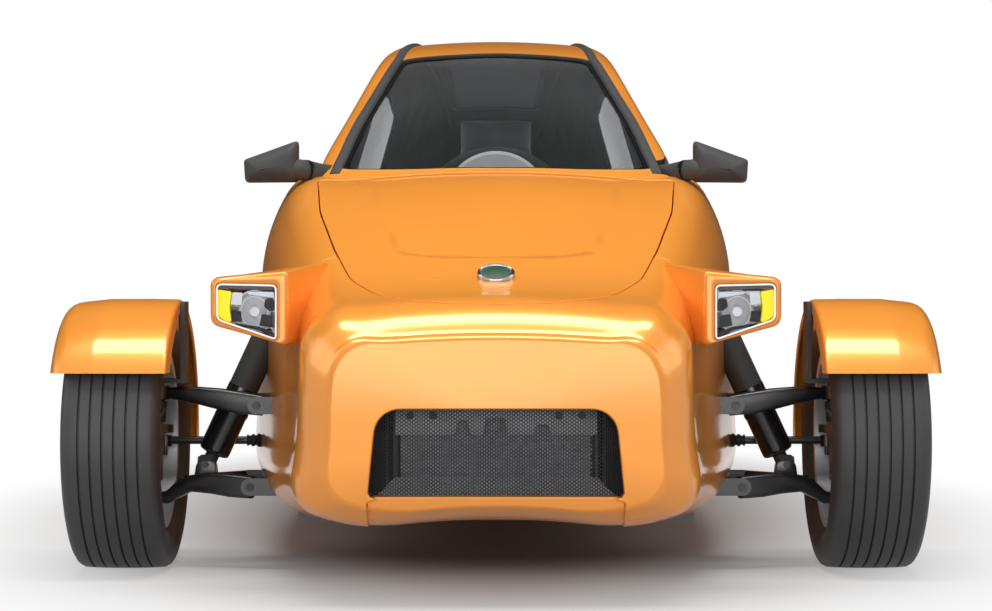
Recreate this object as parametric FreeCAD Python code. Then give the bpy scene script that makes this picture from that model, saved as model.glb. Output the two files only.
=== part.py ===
"""A three wheeled enclosed car: two steered front wheels outside a narrow tandem body, one wheel in the tail.

Row frame, millimetres: +Z up, the nose points to -Y, +X is the car's left side, and the origin is on the
floor at the middle of the length. Stations s are measured back from the front axle.
"""
import FreeCAD
import Part
import math
import os
from FreeCAD import Vector

os.makedirs("parts", exist_ok=True)

# ---------------------------------------------------------------- driving dimensions
overall_length = 4080.0
wheelbase = 2794.0
front_overhang = 630.0
half_track = 728.0
front_axle_y = front_overhang - overall_length / 2
rear_axle_y = front_axle_y + wheelbase

tyre_radius = 255.5
tyre_width = 188.0
rim_seat_radius = 165.0      # 13 inch rim
rear_tyre_radius = 290.0
rear_tyre_width = 172.0
rear_rim_seat_radius = 190.5  # 15 inch rim

panel_wall = 38.0            # whole wall of the lower body
canopy_wall = 30.0           # pillars and roof frame
glass_depth = 5.0            # glass face below the paint
glass_thickness = 5.0
panel_gap = 5.0              # shut line round the hood, door and hatch
seat_gap = 0.3               # what sits in its seat stays this far off it

# lower body, one row a section: station, deck height at the middle, shoulder x and z, widest x and its z,
# sill x and z, floor height at the middle
body_rows = [
    (-630, 448, 226, 424, 276, 320, 246, 172, 160),
    (-595, 492, 262, 460, 318, 325, 286, 150, 141),
    (-490, 541, 302, 504, 350, 345, 320, 132, 122),
    (-250, 632, 356, 580, 396, 360, 364, 124, 112),
    (0, 733, 408, 668, 448, 375, 400, 122, 110),
    (250, 800, 436, 745, 490, 395, 430, 122, 110),
    (600, 803, 452, 772, 532, 410, 455, 126, 112),
    (1000, 803, 458, 775, 562, 420, 462, 130, 115),
    (1500, 798, 448, 768, 560, 440, 450, 136, 118),
    (2100, 780, 412, 748, 512, 460, 402, 160, 138),
    (2450, 768, 380, 732, 470, 482, 352, 216, 190),
    (2780, 746, 332, 706, 408, 500, 292, 296, 270),
    (3120, 714, 266, 672, 328, 518, 226, 368, 346),
    (3438, 655, 172, 622, 212, 528, 152, 426, 414),
]
# canopy, one row a section: station, top at the middle, glass edge x and z, roof rail x and z, belt x and z
canopy_rows = [
    (110, 738, 336, 716, 362, 700, 376, 675),
    (250, 800, 346, 778, 376, 760, 394, 715),
    (600, 962, 304, 930, 350, 902, 398, 760),
    (850, 1060, 266, 1034, 318, 1004, 400, 765),
    (1050, 1130, 240, 1116, 294, 1082, 402, 765),
    (1300, 1181, 234, 1169, 284, 1132, 402, 768),
    (1550, 1213, 230, 1200, 276, 1158, 398, 770),
    (1850, 1230, 220, 1215, 266, 1168, 390, 770),
    (2200, 1210, 200, 1193, 244, 1144, 366, 762),
    (2600, 1126, 166, 1106, 207, 1060, 325, 745),
    (3000, 988, 126, 966, 162, 930, 265, 715),
    (3330, 838, 86, 816, 114, 790, 190, 680),
]
canopy_base_z = 655.0


# ---------------------------------------------------------------- helpers
def Y(station):
    """Row-frame Y of a station behind the front axle."""
    return station + front_axle_y


def save(name, *shapes):
    """One STEP file per node, of one or more solids."""
    solids = [solid for shape in shapes for solid in shape.Solids]
    if not solids:
        raise ValueError(name + " has no solid")
    shape = solids[0] if len(solids) == 1 else Part.makeCompound(solids)
    shape.exportStep("parts/" + name + ".step")


def mirrored(shape):
    """The same shape on the other side of the car."""
    return shape.mirror(Vector(0, 0, 0), Vector(1, 0, 0))


def cylinder(radius, start, end):
    """A round bar from one point to another."""
    axis = end - start
    return Part.makeCylinder(radius, axis.Length, start, axis)


def block(low, high):
    """A box between two corners."""
    return Part.makeBox(high[0] - low[0], high[1] - low[1], high[2] - low[2], Vector(*low))


def unit(x, z):
    length = math.hypot(x, z)
    return (x / length, z / length)


def arc_middle(p, p_dir, q):
    """Middle point of the arc that leaves p along p_dir and ends at q."""
    chord = (q[0] - p[0], q[1] - p[1])
    cross = p_dir[0] * chord[1] - p_dir[1] * chord[0]
    dot = p_dir[0] * chord[0] + p_dir[1] * chord[1]
    lift = math.tan(math.atan2(cross, dot) / 2) / 2
    return ((p[0] + q[0]) / 2 + chord[1] * lift, (p[1] + q[1]) / 2 - chord[0] * lift)


def arc_end(p, p_dir, q):
    """Direction in which that arc reaches q."""
    chord = (q[0] - p[0], q[1] - p[1])
    cross = p_dir[0] * chord[1] - p_dir[1] * chord[0]
    dot = p_dir[0] * chord[0] + p_dir[1] * chord[1]
    turn = 2 * math.atan2(cross, dot)
    cos, sin = math.cos(turn), math.sin(turn)
    return (p_dir[0] * cos - p_dir[1] * sin, p_dir[0] * sin + p_dir[1] * cos)


def two_arcs(p, p_dir, q, q_dir):
    """Points of the pair of arcs that leaves p along p_dir and reaches q along q_dir, without p."""
    d = (q[0] - p[0], q[1] - p[1])
    both = (p_dir[0] + q_dir[0], p_dir[1] + q_dir[1])
    along = d[0] * both[0] + d[1] * both[1]
    apart = 2 * (1 - p_dir[0] * q_dir[0] - p_dir[1] * q_dir[1])
    span = d[0] * d[0] + d[1] * d[1]
    if apart < 1e-6:
        reach = span / (2 * along)
    else:
        reach = (math.sqrt(along * along + apart * span) - along) / apart
    join = (
        (p[0] + q[0] + reach * (p_dir[0] - q_dir[0])) / 2,
        (p[1] + q[1] + reach * (p_dir[1] - q_dir[1])) / 2,
    )
    join_dir = arc_end(p, p_dir, join)
    return [arc_middle(p, p_dir, join), join, arc_middle(join, join_dir, q), q]


def arcs(points, station):
    """Three-point arcs through points of a half section, the odd ones being mid-points."""
    at = [Vector(x, Y(station), z) for x, z in points]
    return [Part.Arc(at[i], at[i + 1], at[i + 2]).toShape() for i in range(0, len(at) - 2, 2)]


def body_half(row, inset):
    """Points of the lower body's half section, from the middle of the deck to the middle of the floor."""
    s, deck, shoulder_x, shoulder_z, waist_x, waist_z, sill_x, sill_z, floor = row
    top = (0, deck - inset)
    shoulder = (shoulder_x - inset * 0.8, shoulder_z - inset * 0.8)
    waist = (waist_x - inset, waist_z)
    sill = (sill_x - inset * 0.8, sill_z + inset * 0.8)
    bottom = (0, floor + inset)
    crown = (shoulder[0] * 0.62, top[1] - (top[1] - shoulder[1]) * 0.26)
    crown_dir = arc_end(top, (1, 0), crown)
    points = [top, arc_middle(top, (1, 0), crown), crown]
    points += two_arcs(crown, crown_dir, shoulder, unit(0.72, -0.70))
    points += two_arcs(shoulder, unit(0.72, -0.70), waist, (0, -1))
    points += two_arcs(waist, (0, -1), sill, unit(-0.94, -0.34))
    return points + two_arcs(sill, unit(-0.94, -0.34), bottom, (-1, 0))


def body_section(row, inset):
    half = body_half(row, inset)
    other = [(-x, z) for x, z in reversed(half)]
    return Part.Wire(arcs(half, row[0]) + arcs(other, row[0]))


def canopy_half(row, inset):
    """Points of the canopy's half section, from the middle of the roof to the rail above the side glass."""
    s, top_z, edge_x, edge_z, rail_x, rail_z, belt_x, belt_z = row
    top = (0, top_z - inset)
    edge = (edge_x - inset * 0.9, edge_z - inset)
    rail = (rail_x - inset, rail_z - inset * 0.7)
    belt = (belt_x - inset, belt_z)
    edge_dir = arc_end(top, (1, 0), edge)
    lean = unit(belt[0] - rail[0], belt[1] - rail[1])
    return [top, arc_middle(top, (1, 0), edge), edge] + two_arcs(edge, edge_dir, rail, lean) + [belt]


def canopy_section(row, inset, base_z):
    half = canopy_half(row, inset)
    y = Y(row[0])
    belt_x, belt_z = half.pop()
    rail_x, rail_z = half[-1]
    other = [(-x, z) for x, z in reversed(half)]
    corners = [
        (rail_x, rail_z), (belt_x, belt_z), (belt_x, base_z), (-belt_x, base_z), (-belt_x, belt_z),
        (-rail_x, rail_z),
    ]
    at = [Vector(x, y, z) for x, z in corners]
    sides = [Part.makeLine(at[i], at[i + 1]) for i in range(len(at) - 1)]
    return Part.Wire(arcs(half, row[0]) + sides + arcs(other, row[0]))


def between(rows, start, end):
    """The rows of a table from one station to another, with rows interpolated at both ends."""

    def at(station):
        for low, high in zip(rows, rows[1:]):
            if low[0] <= station <= high[0]:
                t = (station - low[0]) / (high[0] - low[0])
                return tuple(a + (b - a) * t for a, b in zip(low, high))
        raise ValueError("station outside the table")

    inner = [row for row in rows if start + 20 < row[0] < end - 20]
    return [at(start)] + inner + [at(end)]


def body_loft(rows, inset=0.0):
    return Part.makeLoft([body_section(row, inset) for row in rows], True, False)


def canopy_loft(rows, inset=0.0, base_z=canopy_base_z):
    return Part.makeLoft([canopy_section(row, inset, base_z) for row in rows], True, False)


def outline(points, place):
    """A closed wire with rounded corners. Each point is (u, v, corner radius); place maps (u, v) to space."""
    count = len(points)
    edges, ends = [], []
    for i, (u, v, radius) in enumerate(points):
        before, after = points[i - 1], points[(i + 1) % count]
        here = Vector(u, v, 0)
        to_before = Vector(before[0] - u, before[1] - v, 0).normalize()
        to_after = Vector(after[0] - u, after[1] - v, 0).normalize()
        half_angle = to_before.getAngle(to_after) / 2
        if radius <= 0 or half_angle > math.radians(89):
            ends.append((here, None, here))
            continue
        reach = radius / math.tan(half_angle)
        bisector = (to_before + to_after).normalize()
        middle = here + bisector * (radius / math.sin(half_angle) - radius)
        ends.append((here + to_before * reach, middle, here + to_after * reach))
    for i, (start, middle, end) in enumerate(ends):
        if middle is not None:
            edges.append(Part.Arc(place(start), place(middle), place(end)).toShape())
        following = ends[(i + 1) % count][0]
        if (following - end).Length > 1e-6:
            edges.append(Part.makeLine(place(end), place(following)))
    return Part.Wire(edges)


def grown(points, amount):
    """A polygon's points moved out by amount, corner radii following."""
    count = len(points)
    area = sum(
        points[i - 1][0] * points[i][1] - points[i][0] * points[i - 1][1] for i in range(count)
    )
    turn = 1 if area > 0 else -1
    result = []
    for i, (u, v, radius) in enumerate(points):
        before, after = points[i - 1], points[(i + 1) % count]
        a = unit(u - before[0], v - before[1])
        b = unit(after[0] - u, after[1] - v)
        normal_a = (a[1] * turn, -a[0] * turn)
        normal_b = (b[1] * turn, -b[0] * turn)
        scale = amount / (1 + normal_a[0] * normal_b[0] + normal_a[1] * normal_b[1])
        result.append(
            (
                u + (normal_a[0] + normal_b[0]) * scale,
                v + (normal_a[1] + normal_b[1]) * scale,
                max(radius + amount, 0) if radius > 0 else 0,
            )
        )
    return result


def prism(wire, direction):
    return Part.Face(wire).extrude(direction)


def mirrored_points(points):
    """A plan outline's left half, from the middle forward to the middle aft, closed with its right half."""
    other = [(-u, v, radius) for u, v, radius in reversed(points) if abs(u) > 1e-6]
    return points + other


# ---------------------------------------------------------------- panel outlines
# Each corner is (across or along, station or height, corner radius).
hood_outline = mirrored_points([
    (0, -617, 0), (110, -612, 300), (228, -560, 80), (296, -331, 500), (346, 8, 600), (368, 215, 14), (0, 215, 0),
])
door_outline = [
    (335, 300, 60), (335, 800, 60), (650, 884, 300), (900, 978, 400), (1100, 1048, 400), (1300, 1096, 60),
    (1370, 760, 200), (1330, 400, 200), (1230, 196, 90), (430, 190, 90),
]
# seen from above, what stays with the roof inboard of the door's frame
roof_keep_outline = mirrored_points([
    (0, 100, 0), (353, 100, 0), (348, 300, 0), (319, 600, 0), (285, 850, 0), (258, 1050, 0), (242, 1300, 0),
    (230, 1600, 0), (0, 1600, 0),
])
hatch_outline = mirrored_points([
    (0, 1900, 0), (196, 1900, 50), (150, 2640, 500), (108, 3060, 60), (0, 3060, 0),
])
windshield_outline = mirrored_points([
    (0, 262, 0), (200, 270, 500), (330, 306, 20), (300, 600, 900), (262, 850, 900), (230, 1040, 40), (0, 1052, 0),
])
door_window = [
    (480, 798, 10), (600, 843, 200), (850, 934, 400), (1050, 1006, 400), (1190, 1044, 40), (1270, 804, 40),
]
quarter_window = [
    (1400, 802, 40), (1312, 1070, 40), (1700, 1086, 400), (2000, 1056, 60), (2080, 802, 60),
]
hatch_window = mirrored_points([
    (0, 1990, 0), (150, 1990, 40), (132, 2560, 40), (0, 2560, 0),
])
# grille opening in the nose, seen from the front: x, z, radius
grille_outline = [(-222, 186, 12), (-186, 342, 46), (186, 342, 46), (222, 186, 12)]

# shut lines at the hinges are wider, so that each hinge's barrel lies flush in the gap
hinge_room = 8.0
hood_level, hatch_level, door_skin_x = 803.0, 1228.0, 512.0
hood_hinge = Vector(0, Y(226), 794)
hatch_hinge = Vector(0, Y(1892), 1223)
door_hinge = Vector(494, Y(323.5), 300)
door_cut = Vector(1, 0.3, 0)
hood_cut = Vector(0, -0.4, 1)
hatch_cut = Vector(0, 0.4, 1)
above = 2000.0


def cut_from_above(points, direction, level, depth=700.0):
    """A prism along direction whose outline is as given at the height level, from depth below it upward."""
    down = direction * (depth / direction.z)
    base = outline(points, lambda at: Vector(at.x, Y(at.y), level) - down)
    return prism(base, down + direction * (above / direction.z))


def cut_from_side(points, direction, skin_x, side=1, depth=400.0):
    """A prism along direction whose side outline is as given at skin_x, from depth inside it outward."""
    inward = direction * (depth / direction.x)
    base = outline(points, lambda at: Vector(skin_x, Y(at.x), at.y) - inward)
    solid = prism(base, inward + direction * (above / direction.x))
    return solid if side > 0 else mirrored(solid)


def cut_along_y(points, start, end):
    base = outline(points, lambda at: Vector(at.x, Y(start), at.y))
    return prism(base, Vector(0, end - start, 0))


# ---------------------------------------------------------------- shell
inner_front, inner_rear = -592.0, 3400.0
canopy_front, canopy_rear = 205.0, 3240.0
body_outer = body_loft(body_rows)
canopy_outer = canopy_loft(canopy_rows)
body_inner = body_loft(between(body_rows, inner_front, inner_rear), panel_wall)
body_fit = body_loft(between(body_rows, inner_front + 5, inner_rear - 5), panel_wall + seat_gap)
canopy_inner = canopy_loft(between(canopy_rows, canopy_front, canopy_rear), canopy_wall)
glass_outer = canopy_loft(canopy_rows, glass_depth)
glass_inner = canopy_loft(canopy_rows, glass_depth + glass_thickness)


def pane(fit):
    """The glass that fills one opening."""
    return glass_outer.common(fit).cut(glass_inner)



body_wall = body_outer.cut(body_inner).cut(canopy_inner)
roof_wall = canopy_outer.cut(canopy_inner).cut(body_outer)

hood_prism = cut_from_above(hood_outline, hood_cut, hood_level, 400.0)
hood_gap = [(u, v + hinge_room if v > 214 else v, r) for u, v, r in grown(hood_outline, panel_gap)]
hood_opening = cut_from_above(hood_gap, hood_cut, hood_level, 400.0)
hatch_prism = cut_from_above(hatch_outline, hatch_cut, hatch_level, 400.0)
hatch_gap = [(u, v - hinge_room if v < 1901 else v, r) for u, v, r in grown(hatch_outline, panel_gap)]
hatch_opening = cut_from_above(hatch_gap, hatch_cut, hatch_level, 400.0)
# the door reaches inboard to the canopy's wall, outboard of what stays with the roof
door_reach = 272.0
roof_keep = cut_from_above(roof_keep_outline, Vector(0, 0, 1), 1500.0, 900.0)
roof_keep_gap = cut_from_above(grown(roof_keep_outline, -panel_gap), Vector(0, 0, 1), 1500.0, 900.0)
door_prism = cut_from_side(door_outline, door_cut, door_skin_x, 1, door_reach).cut(roof_keep)
door_gap = [(u - hinge_room if u < 431 else u, v, r) for u, v, r in grown(door_outline, panel_gap)]
door_opening = cut_from_side(door_gap, door_cut, door_skin_x, 1, door_reach + panel_gap).cut(roof_keep_gap)

windshield_opening = cut_from_above(windshield_outline, Vector(0, 0, 1), 1200.0, 500.0)
windshield_fit = cut_from_above(grown(windshield_outline, -seat_gap), Vector(0, 0, 1), 1200.0, 500.0)
hatch_glass_opening = cut_from_above(hatch_window, Vector(0, 0, 1), 1200.0, 400.0)
hatch_glass_fit = cut_from_above(grown(hatch_window, -seat_gap), Vector(0, 0, 1), 1200.0, 400.0)
straight_out = Vector(1, 0, 0)
door_glass_opening = cut_from_side(door_window, straight_out, door_skin_x)
door_glass_fit = cut_from_side(grown(door_window, -seat_gap), straight_out, door_skin_x)
right_glass_opening = mirrored(door_glass_opening)
right_glass_fit = mirrored(door_glass_fit)
quarter_opening = cut_from_side(quarter_window, straight_out, door_skin_x)
quarter_fit = cut_from_side(grown(quarter_window, -seat_gap), straight_out, door_skin_x)

hood_panel = body_wall.common(hood_prism)
door_panel = body_wall.common(door_prism).fuse(roof_wall.common(door_prism)).cut(door_glass_opening)
hatch_panel = roof_wall.common(hatch_prism).cut(hatch_glass_opening)

# hinges: an eye and leaf on the panel between two lugs on the body, flush in the gap
barrel_radius, pin_radius, eye_length, lug_length, hinge_side = 4.5, 2.0, 20.0, 8.0, 1.0
leaf_wall, leaf_reach = 4.0, 24.0


def leaf(start, along, length, toward):
    """Flat plate from a hinge's axis into its panel."""
    across = along.cross(toward) * (leaf_wall / 2)
    reach = toward * leaf_reach
    at = [start - across, start + along * length - across]
    wire = Part.makePolygon([at[0], at[1], at[1] + reach, at[0] + reach, at[0]])
    return Part.Face(wire).extrude(across * 2)


def hinge(foot, along, moving_side, fixed_side):
    """The panel's half and the body's half of one hinge whose axis runs from foot."""
    eye_start = foot + along * (lug_length + hinge_side)
    eye_end = eye_start + along * eye_length
    last = eye_end + along * hinge_side
    tip = last + along * lug_length
    eye = cylinder(barrel_radius, eye_start, eye_end).fuse(leaf(eye_start, along, eye_length, moving_side))
    eye = eye.cut(cylinder(pin_radius + seat_gap, foot, tip))
    lugs = cylinder(pin_radius, foot, tip)
    for start in (foot, last):
        lugs = lugs.fuse(cylinder(barrel_radius, start, start + along * lug_length))
        lugs = lugs.fuse(leaf(start, along, lug_length, fixed_side))
    return eye, lugs


x_way, z_way = Vector(1, 0, 0), Vector(0, 0, 1)
hood_halves = [
    hinge(hood_hinge + x_way * x, x_way, Vector(0, -1, -0.4).normalize(), Vector(0, 1, -0.25).normalize())
    for x in (-96, 58)
]
hatch_halves = [
    hinge(hatch_hinge + x_way * x, x_way, Vector(0, 1, -0.3).normalize(), Vector(0, -1, -0.3).normalize())
    for x in (-96, 58)
]
door_halves = [
    hinge(door_hinge + z_way * z, z_way, Vector(-0.45, 1, 0).normalize(), Vector(-0.45, -1, 0).normalize())
    for z in (0, 150)
]
for eye, lugs in hood_halves:
    hood_panel = hood_panel.fuse(eye)
for eye, lugs in hatch_halves:
    hatch_panel = hatch_panel.fuse(eye)
for eye, lugs in door_halves:
    door_panel = door_panel.fuse(eye)

save("hood_panel", hood_panel)
save("door_panel", door_panel)
save("door_glass", pane(door_glass_fit))
save("hatch_panel", hatch_panel)
save("hatch_glass", pane(hatch_glass_fit))
save("windshield", pane(windshield_fit))
side_glass = [quarter_fit, mirrored(quarter_fit), right_glass_fit]
save("side_glass", *[pane(fit) for fit in side_glass])

roof_frame = roof_wall.cut(door_opening).cut(hatch_opening).cut(windshield_opening)
roof_frame = roof_frame.cut(hood_opening)
for eye, lugs in hatch_halves:
    roof_frame = roof_frame.fuse(lugs)
for opening in (quarter_opening, mirrored(quarter_opening), right_glass_opening):
    roof_frame = roof_frame.cut(opening)
save("roof_frame", roof_frame)

# ---------------------------------------------------------------- front axle, measured from its own middle
axle_y, axle_z = Y(0), tyre_radius
kingpin_foot = Vector(685, axle_y, 137)
kingpin_head = Vector(667, axle_y, 347)
kingpin_axis = (kingpin_head - kingpin_foot).normalize()


flange_height, flange_wall, barrel_wall = 12.0, 6.0, 7.0


def spun(profile, centre_x, centre_y, centre_z):
    """A ring turned about a wheel's own axle from (x along the axle, radius) points."""
    at = [Vector(centre_x + x, centre_y, centre_z + r) for x, r in profile]
    edges = [Part.makeLine(at[i - 1], at[i]) for i in range(len(at))]
    face = Part.Face(Part.Wire(edges))
    return face.revolve(Vector(centre_x, centre_y, centre_z), Vector(1, 0, 0), 360)


def tyre_profile(radius, width, bead_radius, rim_half):
    half = width / 2
    wall = [(rim_half, bead_radius), (rim_half, bead_radius + flange_height + 2), (half, bead_radius + 36)]
    wall += [(half, radius - 24), (half - 14, radius)]
    return wall + [(-x, r) for x, r in reversed(wall)]


def rim_profile(bead_radius, rim_half, dish_x, dish_thickness, bore):
    """Barrel with both flanges, dish and hub in one closed profile; bore is the centre hole's radius."""
    top = bead_radius - seat_gap
    outer = [
        (-rim_half - flange_wall, top - barrel_wall), (-rim_half - flange_wall, top + flange_height),
        (-rim_half - seat_gap, top + flange_height), (-rim_half - seat_gap, top),
        (rim_half + seat_gap, top), (rim_half + seat_gap, top + flange_height),
        (rim_half + flange_wall, top + flange_height), (rim_half + flange_wall, top - barrel_wall),
        (dish_x + dish_thickness, top - barrel_wall), (dish_x + dish_thickness, bore), (dish_x, bore),
        (dish_x, top - barrel_wall),
    ]
    return outer


rim_half = 70.0
rim_dish_x, rim_dish_thickness = 24.0, 12.0
spindle_radius = 17.0
hub_radius = 62.0
disc_radius = 118.0
disc_faces = (-14.0, -2.0)
lug_count, lug_circle, lug_hole = 4, 50.0, 6.5
window_count, window_radius, window_circle = 8, 17.0, 118.0

tyre = spun(tyre_profile(tyre_radius, tyre_width, rim_seat_radius, rim_half), half_track, axle_y, axle_z)
rim = spun(
    rim_profile(rim_seat_radius, rim_half, rim_dish_x, rim_dish_thickness, spindle_radius + seat_gap),
    half_track, axle_y, axle_z,
)
hub_back = disc_faces[1] + seat_gap
rim = rim.fuse(spun(
    [(hub_back, spindle_radius + seat_gap), (hub_back, hub_radius), (rim_dish_x + 1, hub_radius),
     (rim_dish_x + 1, spindle_radius + seat_gap)],
    half_track, axle_y, axle_z,
))


def around(count, circle, phase=0.0):
    """Offsets (y, z) of a ring of like pieces."""
    turns = [phase + 2 * math.pi * i / count for i in range(count)]
    return [(circle * math.sin(turn), circle * math.cos(turn)) for turn in turns]


for y, z in around(lug_count, lug_circle, math.pi / 4):
    start = Vector(half_track + rim_dish_x - 8, axle_y + y, axle_z + z)
    rim = rim.cut(Part.makeCylinder(lug_hole, rim_dish_thickness + 20, start, Vector(1, 0, 0)))
for y, z in around(window_count, window_circle):
    start = Vector(half_track + rim_dish_x - 5, axle_y + y, axle_z + z)
    rim = rim.cut(Part.makeCylinder(window_radius, rim_dish_thickness + 10, start, Vector(1, 0, 0)))
disc = spun(
    [(disc_faces[0], spindle_radius + seat_gap), (disc_faces[0], disc_radius), (disc_faces[1], disc_radius),
     (disc_faces[1], spindle_radius + seat_gap)],
    half_track, axle_y, axle_z,
)
save("tyre_left", tyre)
save("tyre_right", mirrored(tyre))
save("rim_left", rim)
save("rim_right", mirrored(rim))
save("brake_disc_left", disc)
save("brake_disc_right", mirrored(disc))

# knuckle: upright between the ball joints, spindle, caliper, steering arm and fender stay
upright_x = (664.0, 692.0)
upright_half = 30.0
ball_stud_radius = 8.0
boss_radius, boss_half = 22.0, 13.0
lug_radius = 18.0
pin_gap = 5.0
disc_gap = 6.0


def along_kingpin(foot, distance):
    return foot + kingpin_axis * distance


lower_lug_foot = along_kingpin(kingpin_foot, boss_half + pin_gap)
lower_lug_head = along_kingpin(kingpin_foot, boss_half + 45)
upper_lug_head = along_kingpin(kingpin_head, -boss_half - pin_gap)
upper_lug_foot = along_kingpin(kingpin_head, -boss_half - 45)
knuckle = block(
    (upright_x[0], axle_y - upright_half, lower_lug_head.z - 24),
    (upright_x[1], axle_y + upright_half, upper_lug_foot.z + 24),
)
knuckle = knuckle.fuse(cylinder(lug_radius, lower_lug_foot, lower_lug_head))
knuckle = knuckle.fuse(cylinder(lug_radius, upper_lug_foot, upper_lug_head))
knuckle = knuckle.fuse(cylinder(ball_stud_radius, along_kingpin(kingpin_foot, -boss_half + 4), lower_lug_head))
stay_base = along_kingpin(kingpin_head, boss_half + 5)
knuckle = knuckle.fuse(cylinder(ball_stud_radius, upper_lug_foot, along_kingpin(kingpin_head, boss_half + 10)))
hub_face_x = half_track + disc_faces[0] - disc_gap
wheel_centre = Vector(half_track, axle_y, axle_z)
knuckle = knuckle.fuse(cylinder(48, Vector(upright_x[0], axle_y, axle_z), Vector(hub_face_x, axle_y, axle_z)))
spindle_tip = half_track + rim_dish_x + rim_dish_thickness + 16
knuckle = knuckle.fuse(
    cylinder(spindle_radius, Vector(hub_face_x, axle_y, axle_z), Vector(spindle_tip, axle_y, axle_z))
)
# steering arm
arm_eye = Vector(672, axle_y + 120, axle_z + 13)
arm_half = 8.0
knuckle = knuckle.fuse(cylinder(17, arm_eye - Vector(0, 0, arm_half), arm_eye + Vector(0, 0, arm_half)))
knuckle = knuckle.fuse(
    block((upright_x[0], axle_y + upright_half - 5, arm_eye.z - arm_half), (684, arm_eye.y, arm_eye.z + arm_half))
)
# caliper over the front of the disc
caliper_reach = (62.0, 132.0)
caliper_half = 42.0
caliper_x = (half_track + disc_faces[0] - 22, half_track + rim_dish_x - 6)
caliper = block(
    (caliper_x[0], axle_y - caliper_reach[1], axle_z - caliper_half),
    (caliper_x[1], axle_y - caliper_reach[0], axle_z + caliper_half),
)
disc_room = spun(
    [(disc_faces[0] - disc_gap, 0), (disc_faces[0] - disc_gap, disc_radius + disc_gap),
     (disc_faces[1] + disc_gap, disc_radius + disc_gap), (disc_faces[1] + disc_gap, 0)],
    half_track, axle_y, axle_z,
)
hub_room = cylinder(hub_radius + disc_gap, wheel_centre - Vector(8, 0, 0), wheel_centre + Vector(60, 0, 0))
caliper = caliper.cut(disc_room).cut(hub_room)
knuckle = knuckle.fuse(caliper)
knuckle = knuckle.fuse(
    block(
        (upright_x[0] + 2, axle_y - caliper_reach[0] - 12, axle_z - upright_half),
        (caliper_x[0] + 14, axle_y - upright_half + 4, axle_z + upright_half),
    )
)
# fender stay: over the upper arm, inboard of the tyre and up to the fender
fender_inner = half_track - 107.0
fender_outer = half_track + 122.0
fender_radius = tyre_radius + 15.0
fender_wall = 5.0
fender_from, fender_to = 25.0, 183.0
stay_wall = 8.0
stay_half = 32.0
stay_x = fender_inner - stay_wall - seat_gap
knuckle = knuckle.fuse(
    block((stay_x, axle_y - stay_half, stay_base.z), (kingpin_head.x + 16, axle_y + stay_half, stay_base.z + stay_wall))
)
knuckle = knuckle.fuse(
    block((stay_x, axle_y - stay_half, stay_base.z), (stay_x + stay_wall, axle_y + stay_half, axle_z + fender_radius))
)
save("knuckle_left", knuckle)
save("knuckle_right", mirrored(knuckle))

# fender: a thin trough turned about the axle
low = fender_radius - 22.0
skin = fender_radius + fender_wall
fender_profile = [
    (fender_inner, low), (fender_inner + fender_wall, low), (fender_inner + fender_wall, fender_radius - 6),
    (fender_inner + 14, fender_radius), (fender_outer - 34, fender_radius), (fender_outer - 15, fender_radius - 10),
    (fender_outer - fender_wall, fender_radius - 30), (fender_outer - fender_wall, fender_radius - 62),
    (fender_outer, fender_radius - 62), (fender_outer, fender_radius - 28), (fender_outer - 11, fender_radius - 6),
    (fender_outer - 32, skin), (fender_inner + 12, skin), (fender_inner, skin - 8),
]
start_turn = math.radians(fender_from)
points = []
for x, r in fender_profile:
    points.append(Vector(x, axle_y - r * math.cos(start_turn), axle_z + r * math.sin(start_turn)))
face = Part.Face(Part.Wire([Part.makeLine(points[i - 1], points[i]) for i in range(len(points))]))
fender = face.revolve(wheel_centre, Vector(-1, 0, 0), fender_to - fender_from)
save("fender_left", fender)
save("fender_right", mirrored(fender))

# ---------------------------------------------------------------- arms, shocks and rack
arm_bar = 11.0
bush_radius, bush_half = 17.0, 22.0
upper_pivots = ((470, -30, 322), (502, 140, 322))
lower_pivots = ((482, -40, 163), (508, 160, 163))
lower_neck, lower_knee = Vector(650, axle_y, 137), Vector(622, axle_y, 166)


def arm(ball, knee, pivots):
    """Ball boss, two legs, their bushes and the brackets that stand on the body."""
    boss = cylinder(boss_radius, ball - kingpin_axis * boss_half, ball + kingpin_axis * boss_half)
    shape = boss
    if knee is not None:
        shape = shape.fuse(cylinder(arm_bar, ball, lower_neck)).fuse(Part.makeSphere(arm_bar, lower_neck))
        shape = shape.fuse(cylinder(arm_bar, lower_neck, knee)).fuse(Part.makeSphere(arm_bar, knee))
    for x, s, z in pivots:
        pivot = Vector(x, Y(s), z)
        half = Vector(0, bush_half, 0)
        shape = shape.fuse(cylinder(arm_bar, ball if knee is None else knee, pivot))
        shape = shape.fuse(cylinder(bush_radius, pivot - half, pivot + half))
        cheek = block((x - 70, pivot.y - bush_half, z - bush_radius), (x, pivot.y + bush_half, z + bush_radius))
        shape = shape.fuse(cheek.cut(body_outer))
    stud_hole = cylinder(ball_stud_radius + seat_gap, ball - kingpin_axis * 60, ball + kingpin_axis * 60)
    return shape.cut(stud_hole)


upper_arm = arm(kingpin_head, None, upper_pivots)
lower_arm = arm(kingpin_foot, lower_knee, lower_pivots)
shock_foot = Vector(580, Y(60), 194)
shock_head = Vector(452, Y(60), 470)
shock_axis = (shock_head - shock_foot).normalize()
bridge = block((562, Y(-25), 158), (598, Y(85), 172))
lower_arm = lower_arm.fuse(bridge).fuse(
    block((shock_foot.x - 12, shock_foot.y - 14, 165), (shock_foot.x + 12, shock_foot.y + 14, shock_foot.z + 10))
)
save("upper_arms", upper_arm, mirrored(upper_arm))
save("lower_arms", lower_arm, mirrored(lower_arm))

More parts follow.
